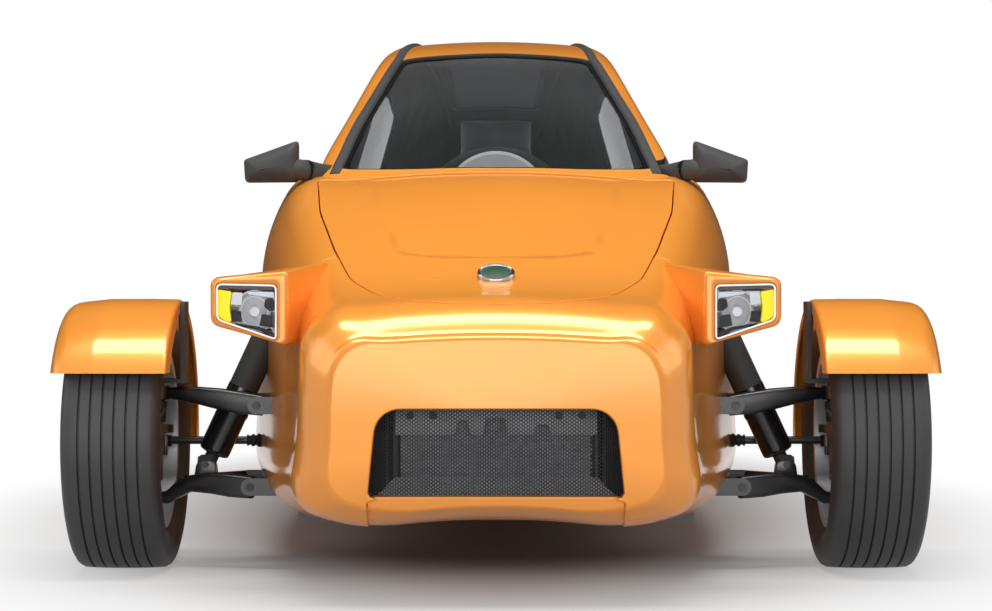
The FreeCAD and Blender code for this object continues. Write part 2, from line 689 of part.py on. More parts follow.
shock_radius = 30.0
shock = cylinder(shock_radius, shock_foot + shock_axis * 34, shock_head + shock_axis * 30)
shock = shock.fuse(cylinder(14, shock_foot + shock_axis * (12 + seat_gap), shock_foot + shock_axis * 40))
clevis_top = shock_foot + Vector(0, 0, 10 + seat_gap)
shock_eye = block((shock_foot.x - 12, shock_foot.y - 14, clevis_top.z), (shock_foot.x + 12, shock_foot.y + 14, clevis_top.z + 14))
shock = shock.fuse(shock_eye)
clevis_room = block(
    (shock_foot.x - 12 - seat_gap, shock_foot.y - 60, 100), (shock_foot.x + 12 + seat_gap, shock_foot.y + 60, clevis_top.z)
)
shock = shock.cut(clevis_room)
shock_hole = cylinder(shock_radius + seat_gap, shock_foot + shock_axis * 60, shock_head + shock_axis * 120)

rod_radius = 8.0
rack_z = axle_z - 11.0
rack_s = 120.0
rod_gap = 6.0
rod = cylinder(rod_radius, Vector(-arm_eye.x, Y(rack_s), rack_z), Vector(arm_eye.x, Y(rack_s), rack_z))
for side in (-1, 1):
    eye = Vector(side * arm_eye.x, Y(rack_s), rack_z)
    rod = rod.fuse(cylinder(14, eye - Vector(0, 0, 12), eye + Vector(0, 0, 10)))
    rod = rod.fuse(cylinder(5, eye - Vector(0, 0, 30), eye))
save("steering_rack", rod)
rod_hole = cylinder(rod_radius + rod_gap, Vector(300, Y(rack_s), rack_z), Vector(600, Y(rack_s), rack_z))

crossmember = block((-385, Y(-75), 100), (385, Y(-5), 134)).cut(body_outer)
crossmember = crossmember.cut(lower_arm).cut(mirrored(lower_arm))
save("front_crossmember", crossmember)

# ---------------------------------------------------------------- rear wheel, its arm and its well
rear_y, rear_z = Y(wheelbase), rear_tyre_radius
rear_rim_half = 62.0
rear_axle_radius = 12.0
rear_tyre = spun(tyre_profile(rear_tyre_radius, rear_tyre_width, rear_rim_seat_radius, rear_rim_half), 0, rear_y, rear_z)
rear_rim = spun(
    rim_profile(rear_rim_seat_radius, rear_rim_half, -8, 16, rear_axle_radius + seat_gap), 0, rear_y, rear_z
)
rear_rim = rear_rim.fuse(spun(
    [(-60, rear_axle_radius + seat_gap), (-60, 40), (60, 40), (60, rear_axle_radius + seat_gap)], 0, rear_y, rear_z
))
for y, z in around(window_count, 116.0):
    rear_rim = rear_rim.cut(Part.makeCylinder(26, 40, Vector(-20, rear_y + y, rear_z + z), Vector(1, 0, 0)))
save("rear_tyre", rear_tyre)
save("rear_rim", rear_rim)

well_radius, well_half, well_wall = rear_tyre_radius + 40, 150.0, 4.0
arm_x = (98.0, 122.0)
swing_pivot = Vector(0, rear_y - well_radius + 42, rear_z + 30)
swingarm = cylinder(rear_axle_radius, Vector(-arm_x[1], rear_y, rear_z), Vector(arm_x[1], rear_y, rear_z))
for side in (-1, 1):
    low_x, high_x = sorted((side * arm_x[0], side * arm_x[1]))
    wire = outline(
        [(rear_y + 34, rear_z - 26, 20), (rear_y + 34, rear_z + 26, 20), (swing_pivot.y, swing_pivot.z + 26, 20),
         (swing_pivot.y - 28, swing_pivot.z, 20), (swing_pivot.y, swing_pivot.z - 26, 20)],
        lambda at: Vector(low_x, at.x, at.y),
    )
    swingarm = swingarm.fuse(prism(wire, Vector(high_x - low_x, 0, 0)))
    pin_start = Vector(side * arm_x[0], swing_pivot.y, swing_pivot.z)
    swingarm = swingarm.fuse(cylinder(20, pin_start, pin_start + Vector(side * (well_half - arm_x[0] - seat_gap), 0, 0)))
save("swingarm", swingarm)
rear_shock_foot = Vector(110, rear_y - 70, rear_z + 34)
rear_shock_head = Vector(118, rear_y - 130, rear_z + 282)
strut = cylinder(17, rear_shock_foot, rear_shock_head)
well_inner = cylinder(well_radius, Vector(-well_half, rear_y, rear_z), Vector(well_half, rear_y, rear_z)).fuse(
    block((-well_half, rear_y - well_radius, -50), (well_half, rear_y + well_radius, rear_z))
)
outer_radius, outer_half = well_radius + well_wall, well_half + well_wall
well_outer = cylinder(outer_radius, Vector(-outer_half, rear_y, rear_z), Vector(outer_half, rear_y, rear_z)).fuse(
    block((-outer_half, rear_y - outer_radius, -50), (outer_half, rear_y + outer_radius, rear_z))
)
strut = strut.common(well_inner).cut(swingarm)
strut_solid = sorted(strut.Solids, key=lambda solid: solid.Volume)[-1]
save("shocks", shock, mirrored(shock), strut_solid, mirrored(strut_solid))
save("wheel_well", well_outer.cut(well_inner).common(body_outer))

# ---------------------------------------------------------------- body shell and nose
body_shell = body_wall.cut(hood_opening).cut(door_opening).cut(hatch_opening).cut(well_outer)
body_shell = body_shell.cut(windshield_opening)
for hole in (shock_hole, mirrored(shock_hole), rod_hole, mirrored(rod_hole)):
    body_shell = body_shell.cut(hole)
nose_end = -255.0
nose_block = block((-600, Y(-700), 0), (600, Y(nose_end), 900))
grille_opening = cut_along_y(grille_outline, -700, -560)
nose = body_shell.common(nose_block).cut(grille_opening)
save("front_fascia", nose)
grille_face = -602.0
save("grille", cut_along_y(grown(grille_outline, -seat_gap), grille_face, grille_face + 4))

pod_sections = [
    (-452, (300, 462), (300, 566), (500, 552), (500, 502)),
    (-436, (300, 448), (300, 579), (518, 562), (518, 494)),
    (-280, (300, 462), (300, 600), (470, 566), (470, 500)),
]


def pod_section(row):
    s, low_in, high_in, high_out, low_out = row
    corners = [(*low_in, 10), (*high_in, 10), (*high_out, 22), (*low_out, 22)]
    return outline(corners, lambda at: Vector(at.x, Y(s), at.y))


pod = Part.makeLoft([pod_section(row) for row in pod_sections], True, True).cut(body_outer)
lens_plane = -440.0
lens_cut = block((0, Y(-700), 0), (900, Y(lens_plane), 900))
pod_room = pod
lens = pod.common(lens_cut)
lens = sorted(lens.Solids, key=lambda solid: solid.Volume)[-1]
housing = sorted(pod.cut(lens_cut).Solids, key=lambda solid: solid.Volume)[-1]
lamp_hole = cylinder(38, Vector(408, Y(-500), 526), Vector(408, Y(-370), 526))
housing = housing.cut(lamp_hole)
save("headlight_housings", housing, mirrored(housing))
save("headlight_lenses", lens, mirrored(lens))
reflector = cylinder(38 - seat_gap, Vector(408, Y(-400), 526), Vector(408, Y(-370 - seat_gap), 526))
reflector = reflector.cut(Part.makeSphere(60, Vector(408, Y(-448), 526)))
save("headlight_reflectors", reflector, mirrored(reflector))

body_shell = body_shell.cut(nose_block)
for eye, lugs in hood_halves + door_halves:
    body_shell = body_shell.fuse(lugs)
save("body_shell", body_shell)

# ---------------------------------------------------------------- under the hood
radiator = block((-190, Y(-545), 140), (190, Y(-500), 400)).common(body_fit)
save("radiator", radiator)
engine = block((-200, Y(-380), 130), (200, Y(70), 500)).common(body_fit)
engine = engine.cut(block((-600, Y(40), 0), (600, Y(90), 300)))
save("engine_block", engine)

# ---------------------------------------------------------------- cabin
firewall_s = 262.0
firewall = block((-600, Y(firewall_s), 100), (600, Y(firewall_s + 10), 900)).common(body_fit)
rack_housing = cylinder(22, Vector(-300, Y(rack_s), rack_z), Vector(300, Y(rack_s), rack_z))
rack_housing = rack_housing.cut(
    cylinder(rod_radius + seat_gap, Vector(-400, Y(rack_s), rack_z), Vector(400, Y(rack_s), rack_z))
)
for x in (-200, 200):
    foot = block((x - 15, Y(rack_s) - 18, 120), (x + 15, Y(rack_s) + 18, rack_z - 15)).common(body_fit)
    rack_housing = rack_housing.fuse(foot)
save("rack_housing", rack_housing)

bulkhead_s = 2335.0
bulkhead = block((-600, Y(bulkhead_s), 100), (600, Y(bulkhead_s + 10), 560)).common(body_fit)
save("bulkheads", firewall, bulkhead)
floor_top = 176.0
floor_pan = block((-395, Y(firewall_s + 10), 100), (395, Y(bulkhead_s), floor_top)).common(body_fit)
save("floor_pan", floor_pan)

wheel_hub = Vector(0, Y(830), 715)
column_slope = math.radians(24)
column_axis = Vector(0, -math.cos(column_slope), -math.sin(column_slope))
column_radius = 9.0
wheel_radius, wheel_grip = 168.0, 14.0
column_tip = wheel_hub + column_axis * 330
steering_wheel = Part.makeTorus(wheel_radius, wheel_grip, wheel_hub, column_axis)
steering_wheel = steering_wheel.fuse(cylinder(column_radius, wheel_hub, column_tip))
steering_wheel = steering_wheel.fuse(cylinder(48, wheel_hub - column_axis * 12, wheel_hub + column_axis * 24))
across, up = Vector(1, 0, 0), Vector(1, 0, 0).cross(column_axis) * -1
for spoke in (across, across * -1, up * -1):
    steering_wheel = steering_wheel.fuse(cylinder(9, wheel_hub, wheel_hub + spoke * wheel_radius))
save("steering_wheel_rim", steering_wheel)
housing_start = wheel_hub + column_axis * 60
column_housing = cylinder(26, housing_start, column_tip + column_axis * 40)
column_bore = cylinder(column_radius + seat_gap, wheel_hub, column_tip + column_axis * 6)
dash_points = [(410, 560, 30), (400, 700, 40), (440, 775, 60), (560, 770, 60), (640, 700, 60), (620, 560, 30)]
dash_wire = outline(dash_points, lambda at: Vector(-330, Y(at.x), at.y))
dashboard = prism(dash_wire, Vector(660, 0, 0))
dashboard = dashboard.fuse(column_housing).cut(column_bore)
beam = block((-300, Y(firewall_s + 10 + seat_gap), 600), (300, Y(430), 690))
dashboard = dashboard.fuse(beam)
binnacle = cylinder(120, Vector(0, Y(590), 742), Vector(0, Y(640), 742)).common(
    block((-200, Y(500), 700), (200, Y(700), 900))
)
dashboard = dashboard.fuse(binnacle)
save("dashboard", dashboard)


def seat(front, base_half, back_half, cushion_top, reach, back_top, recline, headrest):
    """Cushion on a plinth, a reclined back and, if asked, a headrest."""
    base = floor_top + seat_gap
    cushion = outline(
        [(front, cushion_top - 90, 30), (front + 20, cushion_top + 30, 50), (front + reach, cushion_top, 40),
         (front + reach + 60, cushion_top - 90, 30)],
        lambda at: Vector(-base_half, Y(at.x), at.y),
    )
    shape = prism(cushion, Vector(2 * base_half, 0, 0))
    shape = shape.fuse(
        block((-base_half + 40, Y(front + 60), base), (base_half - 40, Y(front + reach - 90), cushion_top - 60))
    )
    foot_s = front + reach - 10
    top_s = foot_s + recline
    back = outline(
        [(foot_s, cushion_top - 40, 20), (top_s, back_top, 30), (top_s + 75, back_top, 30),
         (foot_s + 120, cushion_top - 40, 20)],
        lambda at: Vector(-back_half, Y(at.x), at.y),
    )
    shape = shape.fuse(prism(back, Vector(2 * back_half, 0, 0)))
    if headrest:
        rest = outline(
            [(top_s + 10, back_top - 30, 6), (top_s + 20, back_top + headrest, 30),
             (top_s + 88, back_top + headrest, 30), (top_s + 62, back_top - 30, 6)],
            lambda at: Vector(-105, Y(at.x), at.y),
        )
        shape = shape.fuse(prism(rest, Vector(210, 0, 0)))
    return shape


front_seat = seat(960, 225, 200, 300, 420, 885, 150, 130)
rear_seat = seat(1790, 190, 175, 310, 340, 850, 120, 120)
save("seats", front_seat, rear_seat)

# ---------------------------------------------------------------- mirrors and tail
mirror_s, mirror_deep = 214.0, 50.0
mirror = outline(
    [(411, 778, 22), (411, 864, 20), (528, 822, 18), (522, 776, 22)],
    lambda at: Vector(at.x, Y(mirror_s), at.y),
)
mirror = prism(mirror, Vector(0, mirror_deep, 0))
mirror_recess = outline(
    [(419, 786, 16), (419, 852, 14), (519, 815, 12), (514, 784, 16)],
    lambda at: Vector(at.x, Y(mirror_s + mirror_deep - 4), at.y),
)
mirror_room = prism(mirror_recess, Vector(0, 10, 0))
stalk = block((386, Y(mirror_s + 8), 740), (420, Y(mirror_s + 38), 816)).cut(body_outer)
mirror_housing = mirror.cut(mirror_room).fuse(stalk)
save("mirror_housings", mirror_housing, mirrored(mirror_housing))
glass_recess = outline(
    grown([(419, 786, 16), (419, 852, 14), (519, 815, 12), (514, 784, 16)], -seat_gap),
    lambda at: Vector(at.x, Y(mirror_s + mirror_deep - 4) + seat_gap, at.y),
)
mirror_glass = prism(glass_recess, Vector(0, 3, 0))
save("mirror_glass", mirror_glass, mirrored(mirror_glass))

tail_s = 3438.0
lamp = outline(
    [(72, 556, 12), (72, 612, 12), (158, 604, 12), (166, 562, 12)],
    lambda at: Vector(at.x, Y(tail_s) + seat_gap, at.y),
)
lamp = prism(lamp, Vector(0, 12 - seat_gap, 0))
save("tail_lamps", lamp, mirrored(lamp))
plate = block((-92, Y(tail_s) + seat_gap, 440), (92, Y(tail_s) + 8, 535))
for x in (-70, 70):
    plate = plate.cut(Part.makeCylinder(3.5, 40, Vector(x, Y(tail_s) - 10, 515), Vector(0, 1, 0)))
save("plate_holder", plate)
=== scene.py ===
"""Looks of the three wheeled car: smooth painted panels, glass, lamps, tyres, trim, cabin, stage and camera."""

import math

import bmesh
import bpy
import numpy as np
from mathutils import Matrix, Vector


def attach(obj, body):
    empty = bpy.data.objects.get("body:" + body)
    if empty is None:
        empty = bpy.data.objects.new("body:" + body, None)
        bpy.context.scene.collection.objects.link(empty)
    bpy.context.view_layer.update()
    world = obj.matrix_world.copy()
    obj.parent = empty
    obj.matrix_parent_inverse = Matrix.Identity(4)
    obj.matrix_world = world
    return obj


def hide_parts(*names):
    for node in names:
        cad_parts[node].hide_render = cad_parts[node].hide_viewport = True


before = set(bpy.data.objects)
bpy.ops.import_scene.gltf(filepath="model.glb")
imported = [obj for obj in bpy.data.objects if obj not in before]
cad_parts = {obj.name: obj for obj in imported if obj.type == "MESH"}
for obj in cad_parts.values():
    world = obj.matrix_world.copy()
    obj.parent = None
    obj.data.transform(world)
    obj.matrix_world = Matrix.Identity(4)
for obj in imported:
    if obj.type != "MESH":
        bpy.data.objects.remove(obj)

bl_info = {
    "name": "Three wheeled car looks",
    "version": (1, 0, 0),
    "blender": (4, 5, 0),
    "location": "View3D > Sidebar > Car",
    "description": "Builds the looks of the three wheeled car around its packed frame",
    "category": "Object",
}

FRONT_AXLE_Y = -1410.0
MM = 0.001
FAR = 900.0

# lower body: station, deck, shoulder x z, waist x z, sill x z, floor
BODY_ROWS = [
    (-630, 448, 252, 430, 284, 320, 252, 182, 172),
    (-595, 492, 286, 465, 322, 325, 290, 163, 155),
    (-490, 541, 314, 506, 350, 345, 320, 148, 139),
    (-250, 632, 356, 580, 396, 360, 364, 130, 119),
    (0, 733, 408, 668, 448, 375, 400, 122, 110),
    (250, 800, 436, 745, 490, 395, 430, 122, 110),
    (600, 803, 452, 772, 532, 410, 455, 126, 112),
    (1000, 803, 458, 775, 562, 420, 462, 130, 115),
    (1500, 798, 448, 768, 560, 440, 450, 136, 118),
    (2100, 780, 412, 748, 512, 460, 402, 160, 138),
    (2450, 768, 380, 732, 470, 482, 352, 216, 190),
    (2780, 746, 332, 706, 408, 500, 292, 296, 270),
    (3120, 714, 266, 672, 328, 518, 226, 368, 346),
    (3438, 655, 172, 622, 212, 528, 152, 426, 414),
]
# canopy: station, top, glass edge x z, roof rail x z, belt x z
CANOPY_ROWS = [
    (110, 738, 336, 716, 362, 700, 376, 675),
    (250, 800, 346, 778, 376, 760, 394, 715),
    (600, 962, 304, 930, 350, 902, 398, 760),
    (850, 1060, 266, 1034, 318, 1004, 400, 765),
    (1050, 1130, 240, 1116, 294, 1082, 402, 765),
    (1300, 1181, 234, 1169, 284, 1132, 402, 768),
    (1550, 1213, 230, 1200, 276, 1158, 398, 770),
    (1850, 1230, 220, 1215, 266, 1168, 390, 770),
    (2200, 1210, 200, 1193, 244, 1144, 366, 762),
    (2600, 1126, 166, 1106, 207, 1060, 325, 745),
    (3000, 988, 126, 966, 162, 930, 265, 715),
    (3330, 838, 86, 816, 114, 790, 190, 680),
]
HOOD_LEVEL, HATCH_LEVEL, DOOR_SKIN_X = 803.0, 1228.0, 512.0


def mirrored(points):
    return points + [(-u, v, r) for u, v, r in reversed(points) if abs(u) > 1e-6]


HOOD = mirrored([
    (0, -669, 0), (122, -658, 160), (208, -570, 120), (264, -460, 240), (303, -290, 500), (346, -50, 700),
    (368, 215, 14), (0, 215, 0),
])
DOOR = [
    (335, 300, 60), (335, 800, 60), (650, 884, 300), (900, 978, 400), (1100, 1048, 400), (1300, 1096, 60),
    (1370, 760, 200), (1330, 400, 200), (1230, 196, 90), (430, 190, 90),
]
KEEP = mirrored([
    (0, 100, 0), (353, 100, 0), (348, 300, 0), (319, 600, 0), (285, 850, 0), (258, 1050, 0), (242, 1300, 0),
    (230, 1600, 0), (0, 1600, 0),
])
HATCH = mirrored([
    (0, 1900, 0), (196, 1900, 50), (150, 2640, 500), (108, 3060, 60), (0, 3060, 0),
])
WINDSHIELD = mirrored([
    (0, 262, 0), (200, 270, 500), (330, 306, 20), (300, 600, 900), (262, 850, 900), (230, 1040, 40), (0, 1052, 0),
])
DOOR_WINDOW = [
    (480, 798, 10), (600, 843, 200), (850, 934, 400), (1050, 1006, 400), (1190, 1044, 40), (1270, 804, 40),
]
QUARTER = [(1400, 802, 40), (1312, 1070, 40), (1700, 1086, 400), (2000, 1056, 60), (2080, 802, 60)]
HATCH_WINDOW = mirrored([(0, 1990, 0), (150, 1990, 40), (132, 2560, 40), (0, 2560, 0)])
HOOD_CREASE = mirrored([
    (0, -302, 0), (112, -293, 60), (178, -262, 34), (214, -130, 200), (256, 180, 300), (268, 250, 0), (0, 250, 0),
])
GRILLE = [(-224, 185, 10), (-208, 343, 48), (208, 343, 48), (224, 185, 10)]


# ---- section geometry
def normed(vector):
    return vector / np.linalg.norm(vector)


def unit(x, z):
    length = math.hypot(x, z)
    return (x / length, z / length)


def arc_turn(p, p_dir, q):
    chord = (q[0] - p[0], q[1] - p[1])
    cross = p_dir[0] * chord[1] - p_dir[1] * chord[0]
    dot = p_dir[0] * chord[0] + p_dir[1] * chord[1]
    return 2 * math.atan2(cross, dot)


def turned(direction, angle):
    cos, sin = math.cos(angle), math.sin(angle)
    return (direction[0] * cos - direction[1] * sin, direction[0] * sin + direction[1] * cos)


def arc_points(p, p_dir, q, count):
    """Points after p on the arc that leaves p along p_dir and ends at q, and its end direction."""
    turn = arc_turn(p, p_dir, q)
    chord = math.hypot(q[0] - p[0], q[1] - p[1])
    points = []
    for i in range(1, count + 1):
        part = turn * i / count
        straight = abs(turn) < 1e-6
        reach = chord * i / count if straight else chord * math.sin(part / 2) / math.sin(turn / 2)
        way = turned(p_dir, part / 2)
        points.append((p[0] + way[0] * reach, p[1] + way[1] * reach))
    return points, turned(p_dir, turn)


def two_arcs(p, p_dir, q, q_dir, counts):
    d = (q[0] - p[0], q[1] - p[1])
    both = (p_dir[0] + q_dir[0], p_dir[1] + q_dir[1])
    along = d[0] * both[0] + d[1] * both[1]
    apart = 2 * (1 - p_dir[0] * q_dir[0] - p_dir[1] * q_dir[1])
    span = d[0] * d[0] + d[1] * d[1]
    reach = span / (2 * along) if apart < 1e-6 else (math.sqrt(along * along + apart * span) - along) / apart
    join = (
        (p[0] + q[0] + reach * (p_dir[0] - q_dir[0])) / 2,
        (p[1] + q[1] + reach * (p_dir[1] - q_dir[1])) / 2,
    )
    first, way = arc_points(p, p_dir, join, counts[0])
    second, way = arc_points(join, way, q, counts[1])
    return first + second


def body_half(row):
    """The body's section from the middle of the deck round to the middle of the floor."""
    s, deck, shoulder_x, shoulder_z, waist_x, waist_z, sill_x, sill_z, floor = row
    top, shoulder, waist = (0.0, deck), (shoulder_x, shoulder_z), (waist_x, waist_z)
    sill, bottom = (sill_x, sill_z), (0.0, floor)
    crown = (shoulder[0] * 0.62, top[1] - (top[1] - shoulder[1]) * 0.26)
    over = float(np.interp(s, [-520, 0], [0.76, 0.52]))
    lean = unit(over, -math.sqrt(1 - over * over))
    under = unit(-0.94, -0.34)
    points, way = arc_points(top, (1, 0), crown, 14)
    points = [top] + points
    points += two_arcs(crown, way, shoulder, lean, (6, 7))
    points += two_arcs(shoulder, lean, waist, (0, -1), (8, 10))
    points += two_arcs(waist, (0, -1), sill, under, (10, 10))
    return points + two_arcs(sill, under, bottom, (-1, 0), (8, 10))


def canopy_half(row, inset=0.0):
    """The canopy's section from the middle of its top down to the belt."""
    _, top_z, edge_x, edge_z, rail_x, rail_z, belt_x, belt_z = row
    top = (0.0, top_z - inset)
    edge = (edge_x - inset * 0.9, edge_z - inset)
    rail = (rail_x - inset, rail_z - inset * 0.7)
    belt = (belt_x - inset, belt_z)
    points, way = arc_points(top, (1, 0), edge, 16)
    lean = unit(belt[0] - rail[0], belt[1] - rail[1])
    points = [top] + points + two_arcs(edge, way, rail, lean, (7, 7))
    steps = 22
    return points + [
        (rail[0] + (belt[0] - rail[0]) * i / steps, rail[1] + (belt[1] - rail[1]) * i / steps)
        for i in range(1, steps + 1)
    ]


def spline_rows(rows, stations):
    """Natural cubic spline of every column of a section table at the given stations."""
    table = np.array(rows, float)
    x, y = table[:, 0], table[:, 1:]
    n = len(x)
    h = np.diff(x)
    system = np.zeros((n, n))
    right = np.zeros((n, y.shape[1]))
    system[0, 0] = system[-1, -1] = 1.0
    for i in range(1, n - 1):
        system[i, i - 1], system[i, i], system[i, i + 1] = h[i - 1], 2 * (h[i - 1] + h[i]), h[i]
        right[i] = 6 * ((y[i + 1] - y[i]) / h[i] - (y[i] - y[i - 1]) / h[i - 1])
    m = np.linalg.solve(system, right)
    result = []
    for s in stations:
        i = int(np.clip(np.searchsorted(x, s) - 1, 0, n - 2))
        a, b = (x[i + 1] - s) / h[i], (s - x[i]) / h[i]
        value = a * y[i] + b * y[i + 1] + ((a ** 3 - a) * m[i] + (b ** 3 - b) * m[i + 1]) * h[i] ** 2 / 6
        result.append((s, *value))
    return result


class Patch:
    """Vertices with their own normals, and polygons, that can be clipped by a field."""

    def __init__(self, verts, normals, faces):
        self.verts, self.normals, self.faces = np.asarray(verts, float), np.asarray(normals, float), faces

    def clip(self, field, keep_negative=True):
        """What lies where field is negative, cut along its zero line."""
        value = np.asarray(field, float).copy()
        if not keep_negative:
            value = -value
        value[np.abs(value) < 1e-4] = -1e-4
        verts, normals = list(self.verts), list(self.normals)
        made, faces = {}, []
        inside = value < 0
        for face in self.faces:
            flags = [inside[i] for i in face]
            if all(flags):
                faces.append(face)
                continue
            if not any(flags):
                continue
            polygon = []
            for k, i in enumerate(face):
                j = face[(k + 1) % len(face)]
                if inside[i]:
                    polygon.append(i)
                if inside[i] != inside[j]:
                    key = (min(i, j), max(i, j))
                    if key not in made:
                        a, b = key
                        t = value[a] / (value[a] - value[b])
                        made[key] = len(verts)
                        verts.append(self.verts[a] + (self.verts[b] - self.verts[a]) * t)
                        normal = self.normals[a] + (self.normals[b] - self.normals[a]) * t
                        normals.append(normal / np.linalg.norm(normal))
                    polygon.append(made[key])
            if len(polygon) > 2:
                faces.append(polygon)
        return Patch(verts, normals, faces).packed()

    def cut(self, shape, *own):
        """What lies outside a field of the vertices."""
        return self.clip(shape(self.verts, *own), False)

    def packed(self):
        used = sorted({i for face in self.faces for i in face})
        place = {old: new for new, old in enumerate(used)}
        faces = [[place[i] for i in face] for face in self.faces]
        return Patch(self.verts[used], self.normals[used], faces)

    def moved(self, depth):
        return Patch(self.verts - self.normals * depth, self.normals, self.faces)

    def edges(self):
        """Open edges, each as the face that owns it runs along it."""
        seen = {(i, face[(k + 1) % len(face)]): True for face in self.faces for k, i in enumerate(face)}
        return [(i, j) for i, j in seen if (j, i) not in seen]


def grid_patch(rings, closed=True):
    """A patch through rings of points, with smooth normals pointing outward from the middle line."""
    points = np.array(rings, float)
    n, m = points.shape[:2]
    if closed:
        around = np.roll(points, -1, axis=1) - np.roll(points, 1, axis=1)
    else:
        around = np.gradient(points, axis=1)
    normals = np.cross(np.gradient(points, axis=0), around)
    normals /= np.maximum(np.linalg.norm(normals, axis=2, keepdims=True), 1e-9)
    flip = 1 if np.sum(normals * (points - points.mean(axis=1, keepdims=True))) > 0 else -1
    normals *= flip
    faces = []
    for i in range(n - 1):
        for j in range(m if closed else m - 1):
            k = (j + 1) % m
            quad = [i * m + j, (i + 1) * m + j, (i + 1) * m + k, i * m + k]
            faces.append(quad if flip > 0 else quad[::-1])
    return Patch(points.reshape(-1, 3), normals.reshape(-1, 3), faces)


def ring_of(half, station):
    """A closed ring in space from a half section."""
    right = [(x, y_at(station), z) for x, z in half]
    left = [(-x, y, z) for x, y, z in reversed(right[1:-1])]
    return right + left


def steps(start, end, pitch):
    count = max(int(round((end - start) / pitch)), 1)
    return [start + (end - start) * i / count for i in range(count + 1)]


def body_patch():
    stations = steps(-612, -480, 6) + steps(-480, 400, 10)[1:] + steps(400, 3410, 16)[1:]
    rings = [ring_of(body_half(row), row[0]) for row in spline_rows(BODY_ROWS, stations)]
    first, last = np.array(rings[0]), np.array(rings[-1])

    def cap(ring, forward, reach, turn_in, rounds, middle_z):
        """Rings that roll the open end over into a nearly flat face."""
        centre = np.array([0.0, ring[0, 1], middle_z])
        radius = np.abs(ring[:, 0]).max()
        result = []
        for i in range(1, 9):
            t = i / 8
            shrink = 1 - turn_in * t / radius
            place = centre + (ring - centre) * shrink
            place[:, 1] = ring[0, 1] + forward * reach * (2 * t - t * t)
            result.append(place)
        base = result[-1]
        for i in range(1, rounds + 1):
            shrink = 1 - i / (rounds + 0.02)
            place = centre + (base - centre) * shrink
            place[:, 1] = base[:, 1] + forward * 6 * (1 - shrink ** 2)
            result.append(place)
        return result

    front = cap(first, -1, 16, 26, 26, 300)
    rear = cap(last, 1, 14, 20, 12, 530)
    rings = [list(map(tuple, r)) for r in reversed(front)] + rings + [list(map(tuple, r)) for r in rear]
    return grid_patch(rings)


def canopy_patch(inset=0.0):
    rings = []
    for row in spline_rows(CANOPY_ROWS, steps(118, 3325, 14)):
        half = canopy_half(row, inset)
        right = [(x, y_at(row[0]), z) for x, z in half]
        left = [(-x, y, z) for x, y, z in reversed(right[1:])]
        rings.append(left + right)
    last = np.array(rings[-1])
    centre = np.array([0.0, last[0, 1], 650.0])
    for i in range(1, 17):
        turn = min(i / 8, 1.0)
        shrink = (1 - 0.1 * turn) * (1 - max(i - 8, 0) / 8.02)
        ring = centre + (last - centre) * shrink
        ring[:, 1] = last[0, 1] + 13 * (2 * turn - turn * turn)
        rings.append(list(map(tuple, ring)))
    return grid_patch(rings, closed=False)


# ---- outlines as fields
def rounded(points, pitch=6.0):
    """A dense closed polyline round a polygon with rounded corners."""
    result = []
    count = len(points)
    for i, (u, v, radius) in enumerate(points):
        before, after = points[i - 1], points[(i + 1) % count]
        here = np.array([u, v], float)
        a = np.array(before[:2], float) - here
        b = np.array(after[:2], float) - here
        la, lb = np.linalg.norm(a), np.linalg.norm(b)
        a, b = a / la, b / lb
        half = math.acos(float(np.clip(a @ b, -1, 1))) / 2
        if radius <= 0 or half > math.radians(89):
            result.append(here)
            continue
        reach = min(radius / math.tan(half), la / 2, lb / 2)
        true_radius = reach * math.tan(half)
        bisector = normed(a + b)
        centre = here + bisector * (true_radius / math.sin(half))
        start, end = here + a * reach, here + b * reach
        a0 = math.atan2(*(start - centre)[::-1])
        a1 = math.atan2(*(end - centre)[::-1])
        turn = (a1 - a0 + math.pi) % (2 * math.pi) - math.pi
        number = max(int(abs(turn) * true_radius / pitch), 4)
        for k in range(number + 1):
            angle = a0 + turn * k / number
            result.append(centre + true_radius * np.array([math.cos(angle), math.sin(angle)]))
    return np.array(result)


def field(outline, u, v):
    """Signed distance to a rounded outline, negative inside."""
    return line_distance(rounded(outline), np.stack([u, v], axis=1))


def y_at(s):
    """Frame y of a station behind the front axle, in millimetres."""
    return FRONT_AXLE_Y + s


def parts_of(verts):
    return verts[:, 0], verts[:, 1] - FRONT_AXLE_Y, verts[:, 2]


def hood_field(verts, outline=HOOD, gap=0.0):
    x, s, z = parts_of(verts)
    return np.where(z < 380, FAR, field(outline, x, s - 0.4 * (HOOD_LEVEL - z)) - gap)


def hatch_field(verts, outline=HATCH, gap=0.0):
    x, s, z = parts_of(verts)
    return field(outline, x, s + 0.4 * (HATCH_LEVEL - z)) - gap


def door_field(verts, outline=DOOR, gap=0.0):
    x, s, z = parts_of(verts)
    value = field(outline, s + 0.3 * (DOOR_SKIN_X - x), z) - gap
    return np.where(x > 200, np.maximum(value, -(field(KEEP, x, s) + gap)), FAR)


def plan_field(verts, outline, gap=0.0):
    x, s, z = parts_of(verts)
    return np.where(z > 600, field(outline, x, s) - gap, FAR)


def side_field(verts, outline, side, gap=0.0):
    x, s, z = parts_of(verts)
    return np.where(x * side > 100, field(outline, s, z) - gap, FAR)


# ---- meshes
def linked(name, data):
    """A new object in the scene."""
    obj = bpy.data.objects.new(name, data)
    bpy.context.scene.collection.objects.link(obj)
    return obj


def mesh_object(name, pieces):
    """One object from pieces of (verts mm, normals, faces, material name)."""
    verts, faces, normals, slots, mats = [], [], [], [], []
    for points, own, polygons, mat in pieces:
        if mat not in mats:
            mats.append(mat)
        base = len(verts)
        verts += list(points)
        normals += [tuple(n) for n in own]
        faces += [[base + i for i in face] for face in polygons]
        slots += [mats.index(mat)] * len(polygons)
    obj = link_mesh(name, verts, faces, mats, slots)
    obj.data.normals_split_custom_set_from_vertices(normals)
    return obj


